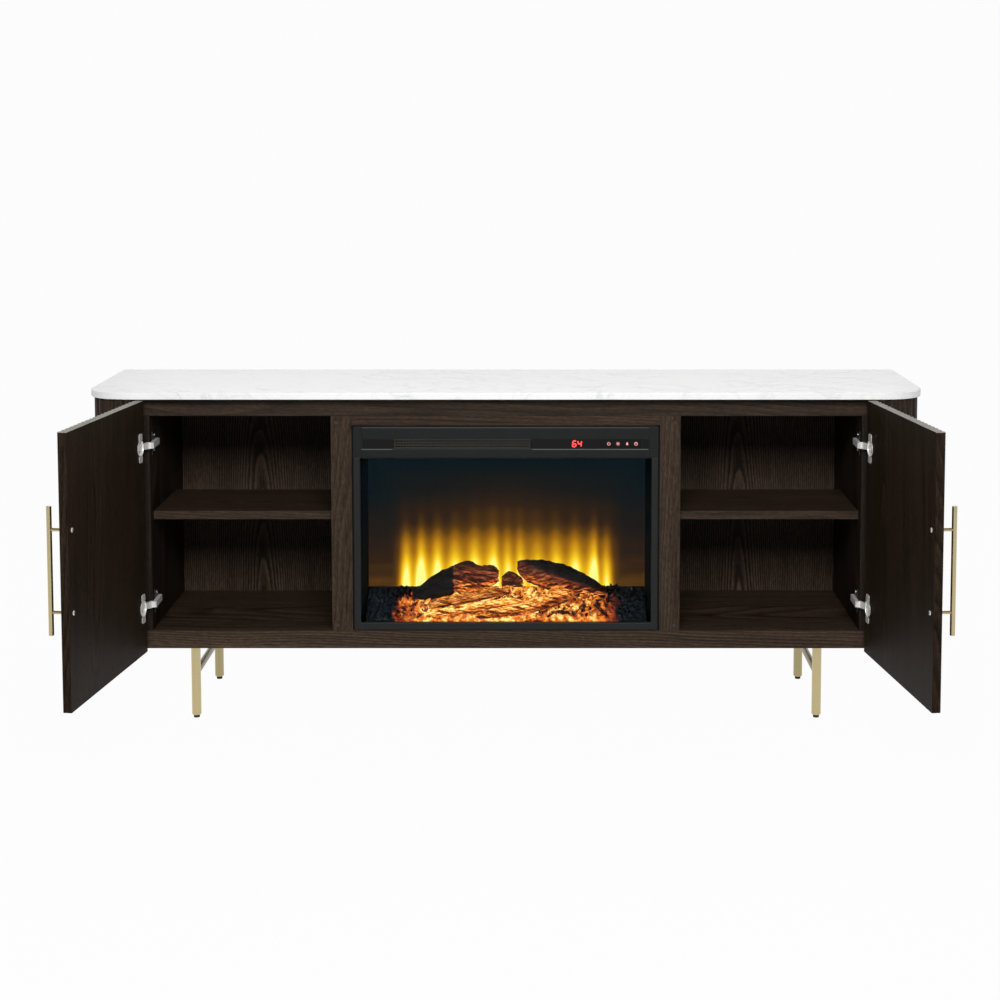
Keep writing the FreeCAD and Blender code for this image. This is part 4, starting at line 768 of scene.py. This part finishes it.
# Each veneer: its grain's way, its pith, rings per metre, figure, tone and boards.
WOOD = {
    "oak_rail_top": (LEAN_X, (0.3, -0.02, 0.655), 190, 0.26, 0.80, ("top_rail",)),
    "oak_rail_low": (LEAN_X, (0.9, 0.10, 0.245), 190, 0.40, 1.34, ("bottom_rail",)),
    "oak_header": (LEAN_X, (-0.6, 0.09, 0.63), 170, 0.26, 1.0, ("fireplace_header_rail",)),
    "oak_boards": (LEAN_X, (0.2, 0.2, 0.45), 150, 0.4, 1.0, ("cabinet_top_panel", "bottom_panel")),
    "oak_stile_left": (LEAN_Z, (-0.30, 0.16, 0.3), 190, 0.24, 1.1, ("left_inner_stile",)),
    "oak_stile_right": (LEAN_Z, (0.42, 0.14, 0.6), 190, 0.24, 1.1, ("right_inner_stile",)),
    # The outer stiles' low tone of 0.4 is painted shade.
    "oak_outer_stiles_painted_shade": (LEAN_Z, (0.2, 0.5, 0.6), 190, 0.2, 0.4, (
        "left_outer_stile", "right_outer_stile",
    )),
    # The low tone of 0.5 on the sides and partitions is painted shade.
    "oak_sides_painted_shade": (LEAN_Z, (0.0, 0.2, 0.9), 110, 0.5, 0.5, (
        "left_side_panel", "right_side_panel", "left_partition", "right_partition",
    )),
    "oak_back_left": (LEAN_Z, (-0.565, 0.43, 0.10), 230, 0.8, 1.1, ("left_back_panel",)),
    "oak_back_right": (LEAN_Z, (0.54, 0.43, 0.15), 230, 0.8, 1.1, ("right_back_panel",)),
    "oak_shelf_left": (LEAN_X, (0.3, 0.16, 0.50), 190, 0.3, 0.95, ("left_shelf",)),
    "oak_shelf_right": (LEAN_X, (-0.3, 0.22, 0.51), 190, 0.3, 0.95, ("right_shelf",)),
    "oak_reeds": (LEAN_Z, (0.0, 0.25, 0.2), 130, 0.35, 0.74, (
        "left_reeded_end", "right_reeded_end",
    )),
    "oak_door_left": (LEAN_Z, (-0.70, -0.30, 0.1), 170, 0.34, 0.56, ("left_door_panel",)),
    "oak_door_right": (LEAN_Z, (0.70, -0.14, 0.2), 170, 0.34, 0.56, ("right_door_panel",)),
}
NICKEL = metal("nickel_plate", (0.93, 0.92, 0.89), 0.36, 0.10, bare=0.45)
ZINC = metal("zinc_plate", (0.62, 0.63, 0.64), 0.34, 0.14)
RUBBER = moulded("black_rubber", (0.014, 0.014, 0.015), 0.75)

LOOKS = [
    (coated("fascia_coat", (0.0070, 0.0078, 0.0076), 0.44, 0.15, fascia=True), ("insert_fascia",)),
    (coated("liner_coat", (0.0034, 0.0066, 0.0100), 0.62, 0.04, 0.2), ("firebox_liners",)),
    (coated("charcoal_coat", (0.0094, 0.0102, 0.0099), 0.44, 0.18), ("insert_trim",)),
    (coated("matte_black_coat", (0.0040, 0.0044, 0.0050), 0.62, 0.08, 0.2), (
        "insert_case", "insert_back_plate",
    )),
    (stone(), ("top_slab",)),
    (metal("satin_brass", (0.60, 0.50, 0.275), 0.30, 0.12), (
        "front_left_leg", "front_right_leg", "left_handle", "right_handle",
    )),
    # The rear legs' darker brass is painted shade.
    (metal("painted_shade_brass_rear", (0.45, 0.375, 0.21), 0.32, 0.12), (
        "rear_left_leg", "rear_right_leg",
    )),
    # The stretchers' and leg plates' dark brass is painted shade.
    (metal("painted_shade_brass_cross", (0.26, 0.22, 0.135), 0.34, 0.12, turn=ALONG_Y), (
        "stretchers", "leg_plates",
    )),
    (NICKEL, (
        "left_hinge_cups", "right_hinge_cups", "hinge_arms", "shelf_pins",
        "left_handle_screws", "right_handle_screws",
    )),
    # The hinge plates' near-black nickel is painted shade.
    (metal("painted_shade_nickel_plate", (0.085, 0.083, 0.080), 0.40, 0.10), ("hinge_plates",)),
    (ZINC, ("wood_screws", "drive_motors")),
    (RUBBER, ("leg_glides", "power_inlet")),
    (moulded("brown_felt", (0.040, 0.028, 0.020), 0.85, 0.3, 1600.0), ("door_stops",)),
    (grille_coat(), ("insert_grille",)),
    (gloss("black_gloss_panel", (0.004, 0.004, 0.004)), ("led_display", "touch_panel")),
    (clear_glass(), ("insert_glass",)),
    (flame_screen(), ("flame_screen",)),
    (metal("mirror_foil", (0.86, 0.86, 0.85), 0.12, 0.08, turn=ALONG_X), (
        "flame_spindle", "blower_rotor",
    )),
    (metal("galvanised_sheet", (0.55, 0.56, 0.57), 0.42, 0.18, turn=ALONG_X), ("blower_housing",)),
    (moulded("heater_ceramic", (0.62, 0.58, 0.50), 0.7), ("heating_element",)),
    (moulded("lamp_strip", (0.80, 0.79, 0.74), 0.45), ("ember_lights",)),
    (moulded("circuit_green", (0.012, 0.10, 0.040), 0.4, scale=300.0), ("control_board",)),
]
for name, (turn, pith, rings, figure, tone, nodes) in WOOD.items():
    # Door veneers get the painted highlight on their upward faces.
    LOOKS.append((oak(name, turn, pith, rings, figure, tone, "door" in name), nodes))

# Eased edges: how wide each hard edge is broken, in metres.
EASED = {
    0.0006: (
        "top_rail", "bottom_rail", "fireplace_header_rail", "left_outer_stile", "right_outer_stile",
        "left_inner_stile", "right_inner_stile", "left_shelf", "right_shelf",
    ),
    0.0009: ("insert_trim", "insert_fascia"),
    0.0004: ("led_display", "touch_panel", "hinge_plates", "hinge_arms"),
}
for look, nodes in LOOKS:
    for name in nodes:
        item = NODES[name]
        item.data.materials.clear()
        item.data.materials.append(look)
for width, nodes in EASED.items():
    for name in nodes:
        item = NODES[name]
        weld = item.modifiers.new("weld", "WELD")
        weld.merge_threshold = 0.00001
        bevel = item.modifiers.new("eased_edges", "BEVEL")
        bevel.width = width
        bevel.segments = 2
        bevel.limit_method = "ANGLE"
        bevel.angle_limit = math.radians(40)

EMBERS = ember_material(
    "ember_resin", (0.20, 0.020, 0.004), (0.86, 0.225, 0.018), (1.0, 0.76, 0.21), 1.35
)
HOT = ember_material(
    "hot_cinder", (0.28, 0.032, 0.005), (0.92, 0.27, 0.024), (1.0, 0.80, 0.25), 1.35
)
WARM = ember_material(
    "warm_cinder", (0.05, 0.006, 0.003), (0.42, 0.070, 0.009), (0.98, 0.40, 0.06), 1.0
)
DARK = ember_material(
    "dark_cinder", (0.010, 0.003, 0.002), (0.035, 0.008, 0.005), (0.24, 0.045, 0.012), 1.0
)
tray = mesh_piece("ember_tray", ember_tray(), [EMBERS], "cabinet", smooth=True)
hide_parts("ember_bed")
for name, flakes in (
    ("cinders", (1000, 11, (0, 0, 1, 1, 1, 2), (-0.247, 0.243), (0.0022, 0.0058))),
    ("large_cinders", (120, 5, (0, 1, 1, 2, 2), (0.115, 0.240), (0.0050, 0.0088))),
    ("dead_cinders", (160, 23, (2,), (-0.298, 0.298), (0.0020, 0.0045))),
):
    mesh_piece(name, cinders(*flakes), (HOT, WARM, DARK), "cabinet")
for name, (points, char_line, char_top, power, lean, seed, bedded) in LOGS.items():
    look = log_material(name + "_bark", lean, char_line, char_top, power, bedded)
    log = mesh_piece(name, split_log(points, seed), [look], "cabinet", smooth=True)
    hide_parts("log_set")


# Hinge links
ARM_TIP, CUP_MOUTH = Vector((0.7555, 0.0365, 0.0)), Vector((0.7685, -0.0010, 0.0))
HINGE_LEVELS = (0.260, 0.6025)
LINK_BOW = 0.0035                       # how far a link bends outwards halfway
LINK_TALL, LINK_TAPER = 0.0150, 0.003   # at the arm, and what it loses up to the cup
LINK_THICK = (0.0042, 0.0016)           # across the hinge and along it


def hinge_link(side, level):
    """The links of one cup hinge as a bent strap from the arm's tip into the open cup."""
    shape = bmesh.new()
    bmesh.ops.create_cube(shape, size=1)
    long = [edge for edge in shape.edges if abs(edge.verts[0].co.y - edge.verts[1].co.y) > 0.5]
    bmesh.ops.subdivide_edges(shape, edges=long, cuts=10, use_grid_fill=True)
    for vert in shape.verts:
        along = 0.5 - vert.co.y
        middle = ARM_TIP.lerp(CUP_MOUTH, along)
        x = middle.x + LINK_BOW * math.sin(math.pi * along) + LINK_THICK[0] * vert.co.x
        y = middle.y + LINK_THICK[1] * vert.co.x
        vert.co = Vector((side * x, y, level + (LINK_TALL - LINK_TAPER * along) * vert.co.z))
    ease(shape, 0.0006)
    return shape


for side, door in ((-1, "left_door"), (1, "right_door")):
    for count, level in enumerate(HINGE_LEVELS):
        link = finished(f"{door}_hinge_link_{count + 1}", hinge_link(side, level), [NICKEL])
        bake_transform(link)


# Handle screws
SCREW_HEAD = 0.002      # how far the solid heads stand off the door
SCREW_SLOT = (0.0021, 0.00035)      # half length and half width
SLOT_FOOT, SLOT_TOP = 0.0012, 0.00165      # heights over the door's face
SCREW_PROFILE = (       # radius, height over the door's face
    (0.0, -0.0225), (0.0019, -0.0225), (0.0019, 0.0), (0.0047, 0.0), (0.0047, 0.0006),
    (0.0041, 0.0011), (0.0024, 0.0015), (0.0, 0.0016),
)
BEYOND_SQUARE = math.radians(7.16)      # a resting door's turn past a right angle


def pan_screws(name, out):
    """A handle's screws, with a cross slot, whose heads clear the frame of a shut door."""
    shape = bmesh.new()
    spots = [vert.co for vert in NODES[name].data.vertices]
    far = max(spot.dot(out) for spot in spots)
    rim = [spot for spot in spots if spot.dot(out) > far - 0.00001]
    middle = (min(spot.z for spot in rim) + max(spot.z for spot in rim)) / 2
    for high in (False, True):
        one = [spot for spot in rim if (spot.z > middle) == high]
        seat = sum(one, Vector()) / len(one) - SCREW_HEAD * out
        before = set(shape.verts)
        verts = [shape.verts.new((across, 0, up)) for across, up in SCREW_PROFILE]
        edges = [shape.edges.new(pair) for pair in zip(verts, verts[1:])]
        bmesh.ops.spin(
            shape, geom=verts + edges, cent=(0, 0, 0), axis=(0, 0, 1), angle=math.radians(360),
            steps=32, use_merge=True,
        )
        bmesh.ops.remove_doubles(
            shape, verts=[vert for vert in shape.verts if vert not in before], dist=0.00001
        )
        metal_faces = len(shape.faces)
        for long, wide in (SCREW_SLOT, SCREW_SLOT[::-1]):
            box_piece(shape, (-long, -wide, SLOT_FOOT), (long, wide, SLOT_TOP))
        shape.faces.ensure_lookup_table()
        for face in shape.faces[metal_faces:]:
            face.material_index = 1
        turn = Vector((0, 0, 1)).rotation_difference(out).to_matrix()
        for vert in shape.verts:
            if vert not in before:
                vert.co = turn @ vert.co + seat
    return shape


for door, facing in (("left", 1), ("right", -1)):
    out = Vector((facing * math.cos(BEYOND_SQUARE), -math.sin(BEYOND_SQUARE), 0))
    name = f"{door}_handle_screws"
    screws = mesh_piece(
        f"{door}_pan_screws", pan_screws(name, out), [NICKEL, RUBBER], f"{door}_door"
    )
    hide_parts(name)


# Lit digits and symbols
SIGN_THICK, SIGN_GAP = 0.0003, 0.00005      # SIGN_GAP: off the panel's face
RING, STROKE = 0.0005, 0.00042              # half widths of the symbols' lines


def raised(shape, corners, y):
    """Raise a flat outline, given as X and Z, towards the front."""
    face = shape.faces.new([shape.verts.new((x, y, z)) for x, z in corners])
    front = bmesh.ops.extrude_face_region(shape, geom=[face], use_keep_orig=True)["geom"]
    verts = [part for part in front if isinstance(part, bmesh.types.BMVert)]
    bmesh.ops.translate(shape, verts=verts, vec=(0, -SIGN_THICK, 0))


def bar(shape, x0, z0, x1, z1, half, y):
    """A short bar with pointed ends between two points."""
    start, end = Vector((x0, z0)), Vector((x1, z1))
    run = (end - start).normalized() * half
    over = Vector((-run.y, run.x))
    raised(shape, [
        start, start + run - over, end - run - over, end, end - run + over, start + run + over,
    ], y)


def arc(shape, x, z, radius, half, y, start, sweep):
    """A raised ring, or a part of one, spun about the way that the panel faces."""
    inner, outer = x + radius - half, x + radius + half
    corners = ((inner, y), (outer, y), (outer, y - SIGN_THICK), (inner, y - SIGN_THICK))
    verts = [shape.verts.new((out, deep, z)) for out, deep in corners]
    edges = [shape.edges.new((verts[n], verts[(n + 1) % 4])) for n in range(4)]
    centre = Vector((x, y, z))
    turn = Matrix.Rotation(math.radians(-start), 3, "Y")
    bmesh.ops.rotate(shape, verts=verts, cent=centre, matrix=turn)
    bmesh.ops.spin(
        shape, geom=verts + edges, cent=centre, axis=(0, -1, 0), angle=math.radians(sweep),
        steps=24, use_merge=sweep == 360,
    )


SEGMENTS = {"6": "afedcg", "4": "fgbc"}


def digits():
    """Two leaning seven-segment digits in the middle of the display."""
    shape = bmesh.new()
    low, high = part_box("led_display")
    middle_x, middle_z = (low.x + high.x) / 2, (low.z + high.z) / 2
    wide, tall, half, lean = 0.0072, 0.0122, 0.0013, 0.0007
    for shift, digit in ((-0.0056, "6"), (0.0056, "4")):
        left, right = middle_x + shift - wide / 2, middle_x + shift + wide / 2
        bottom, top, centre = middle_z - tall / 2, middle_z + tall / 2, middle_z
        ends = {
            "a": (left + lean, top, right + lean, top), "g": (left, centre, right, centre),
            "d": (left - lean, bottom, right - lean, bottom),
            "f": (left, centre, left + lean, top), "b": (right, centre, right + lean, top),
            "e": (left - lean, bottom, left, centre), "c": (right - lean, bottom, right, centre),
        }
        for part in SEGMENTS[digit]:
            bar(shape, *ends[part], half, low.y - SIGN_GAP)
    return shape


def symbols():
    """Four generic touch symbols: power, light, drop and timer."""
    shape = bmesh.new()
    low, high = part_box("touch_panel")
    y = low.y - SIGN_GAP
    z = (low.z + high.z) / 2
    power, lamp, drop, timer = (
        low.x + share * (high.x - low.x) for share in (0.20, 0.43, 0.66, 0.88)
    )
    arc(shape, power, z, 0.0030, RING, y, 125, 290)
    bar(shape, power, z + 0.0006, power, z + 0.0042, RING, y)
    arc(shape, lamp, z, 0.0017, RING, y, 0, 360)
    for step in range(8):
        ray = Vector((math.cos(math.tau * step / 8), math.sin(math.tau * step / 8)))
        start, end = ray * 0.0027, ray * 0.0042
        bar(shape, lamp + start.x, z + start.y, lamp + end.x, z + end.y, STROKE, y)
    outline = []
    for step in range(24):
        angle = math.tau * step / 24
        swell = math.sin(angle / 2) ** 2.2
        across, up = 0.0034 * math.sin(angle) * swell, 0.0038 * math.cos(angle)
        outline.append((drop + across, z + 0.0008 + up))
    raised(shape, outline, y)
    arc(shape, timer, z, 0.0032, RING, y, 0, 360)
    bar(shape, timer, z - 0.0002, timer, z + 0.0023, STROKE, y)
    bar(shape, timer - 0.0002, z, timer + 0.0019, z, STROKE, y)
    bmesh.ops.holes_fill(shape, edges=[edge for edge in shape.edges if edge.is_boundary])
    return shape


SNUG = 0.0001       # room between a strip and what it lies against


def gasket():
    """Foam strips that close the gap between the insert and its opening."""
    shape = bmesh.new()
    low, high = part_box("insert_trim")
    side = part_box("right_inner_stile")[0].x - SNUG
    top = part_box("fireplace_header_rail")[0].z - SNUG
    inner, front, back = high.x - 0.004, high.y + 0.0005, high.y + 0.011
    for sign in (-1, 1):
        ends = sorted((sign * inner, sign * side))
        box_piece(shape, (ends[0], front, low.z), (ends[1], back, top))
    box_piece(shape, (-inner + 2 * SNUG, front, high.z - 0.004), (inner - 2 * SNUG, back, top))
    ease(shape, 0.0004)
    return shape


def recess_shadow_strip():
    """A black foam strip along the top of the fascia's recess: a painted shadow line."""
    shape = bmesh.new()
    front = FASCIA[0].y
    low = (-RECESS_HALF + SNUG, front + 0.0003, RECESS_TOP - 0.0014)
    box_piece(shape, low, (RECESS_HALF - SNUG, front + 0.0019, RECESS_TOP - SNUG))
    ease(shape, 0.0002)
    return shape


def recess_highlight_lip():
    """The edge along the foot of the fascia's recess, on both sides of the grille, in a pale coat
    that is a painted highlight.
    """
    shape = bmesh.new()
    front = FASCIA[0].y
    left, right = -RECESS_HALF - 0.004, RECESS_HALF
    for start, end in ((left, GRILLE[0].x), (GRILLE[1].x, right)):
        low = (start, front - 0.0006, RECESS_FOOT - 0.0016)
        box_piece(shape, low, (end, front + 0.0005, RECESS_FOOT))
    ease(shape, 0.0003)
    return shape


FOAM = moulded("black_foam", (0.010, 0.010, 0.011), 0.9, 0.3, 1400.0)
# The lip's pale coat is a painted highlight along the recess's foot.
HIGHLIGHT_LIP = coated("painted_highlight_lip_coat", (0.060, 0.065, 0.063), 0.36, 0.5)
RED = glow("red_segments", (1.0, 0.05, 0.05), 2.2)
ROSE = glow("lit_symbols", (1.0, 0.40, 0.38), 1.2)
mesh_piece("insert_gasket", gasket(), [FOAM], "cabinet")
# The black strip at the recess's top is a painted shadow line.
mesh_piece("recess_shadow_strip", recess_shadow_strip(), [FOAM], "cabinet")
mesh_piece("recess_highlight_lip", recess_highlight_lip(), [HIGHLIGHT_LIP], "cabinet")
mesh_piece("display_digits", digits(), [RED], "cabinet")
mesh_piece("touch_symbols", symbols(), [ROSE], "cabinet")


# Floor, backdrop and light
def white_for(data, rays, share, white, plain, inputs, output):
    """Show the given rays a share of pure white, and light everything else plainly."""
    data.use_nodes = True
    data.node_tree.nodes.clear()
    t = Tree(data.node_tree)
    path = t.add("ShaderNodeLightPath").outputs
    seen = 0.0
    for ray in rays:
        seen = t.math("MAXIMUM", seen, path[ray])
    both = t.add(
        "ShaderNodeMixShader", i0=t.times(seen, share), i1=t.add(plain, **inputs).outputs[0],
        i2=t.add(white, Color=(1, 1, 1, 1), Strength=1.0).outputs[0],
    )
    t.add(output, Surface=both.outputs[0])


STAGE_HALF, STAGE_FRONT, STAGE_BACK = 12.0, -9.0, 3.2       # half width, and where it's flat
STAGE_LEVEL = -0.0002
BEND_RADIUS, BEND_STEPS, WALL_HEIGHT = 1.6, 12, 6


def sweep():
    """A floor that curves up into a backdrop, drawn out of one long edge."""
    shape = bmesh.new()
    ends = [shape.verts.new((x, STAGE_FRONT, STAGE_LEVEL)) for x in (-STAGE_HALF, STAGE_HALF)]
    edge = shape.edges.new(ends)
    for step in range(BEND_STEPS + 1):
        angle = math.radians(90 * step / BEND_STEPS)
        fresh = bmesh.ops.extrude_edge_only(shape, edges=[edge])["geom"]
        edge = next(part for part in fresh if isinstance(part, bmesh.types.BMEdge))
        for vert in edge.verts:
            vert.co.y = STAGE_BACK + BEND_RADIUS * math.sin(angle)
            vert.co.z = STAGE_LEVEL + BEND_RADIUS * (1 - math.cos(angle))
    fresh = bmesh.ops.extrude_edge_only(shape, edges=[edge])["geom"]
    verts = [part for part in fresh if isinstance(part, bmesh.types.BMVert)]
    bmesh.ops.translate(shape, verts=verts, vec=(0, 0, WALL_HEIGHT))
    return shape


STAGE_WHITE = bpy.data.materials.new("stage_white")
white_for(
    STAGE_WHITE, ("Is Camera Ray", "Is Glossy Ray", "Is Transmission Ray"), 0.97,
    "ShaderNodeEmission", "ShaderNodeBsdfDiffuse", {"Color": (0.50, 0.50, 0.50, 1)},
    "ShaderNodeOutputMaterial",
)
floor = finished("studio_sweep", sweep(), [STAGE_WHITE], smooth=True)

# Lights: place, what each faces, its size and its power.
LIGHTS = {
    "front_soft": ((0.1, -3.7, 2.55), (0, 0, 0.35), (2.4, 1.2), 168),
    "top_soft": ((0.0, -0.2, 3.2), (0, 0.1, 0.7), (3.2, 1.8), 6),
    "left_soft": ((-3.2, 0.9, 1.7), (0, 0.2, 0.4), (1.4, 1.4), 11),
    "right_soft": ((3.2, 0.9, 1.7), (0, 0.2, 0.4), (1.4, 1.4), 11),
    "back_soft": ((0.0, 3.0, 2.2), (0, 0.2, 0.5), (3.0, 1.4), 24),
}
for name, (place, target, size, power) in LIGHTS.items():
    lamp = bpy.data.lights.new(name, "AREA")
    lamp.shape = "RECTANGLE"
    lamp.size, lamp.size_y = size
    lamp.energy = power
    item = bpy.data.objects.new(name, lamp)
    item.location = place
    aim = Vector(target) - Vector(place)
    item.rotation_euler = aim.to_track_quat("-Z", "Y").to_euler()
    bpy.context.scene.collection.objects.link(item)

world = bpy.data.worlds.new("studio_world")
bpy.context.scene.world = world
white_for(
    world, ("Is Camera Ray", "Is Transmission Ray"), 1.0,
    "ShaderNodeBackground", "ShaderNodeBackground", {"Color": (1, 1, 1, 1), "Strength": 0.13},
    "ShaderNodeOutputWorld",
)

LOOKING_DOWN = 4.925        # degrees
camera = bpy.data.cameras.new("camera")
camera.lens = 68.07
camera.sensor_width = 36.0
camera.shift_x = -0.0392
camera.shift_y = -0.20
camera.clip_start, camera.clip_end = 0.05, 60.0
viewer = bpy.data.objects.new("camera", camera)
viewer.location = (0.0711, FRONT - 3.9741, 1.2538)
viewer.rotation_euler = (math.radians(90 - LOOKING_DOWN), 0, 0)
bpy.context.scene.collection.objects.link(viewer)
bpy.context.scene.camera = viewer
bpy.context.scene.view_settings.view_transform = "Standard"
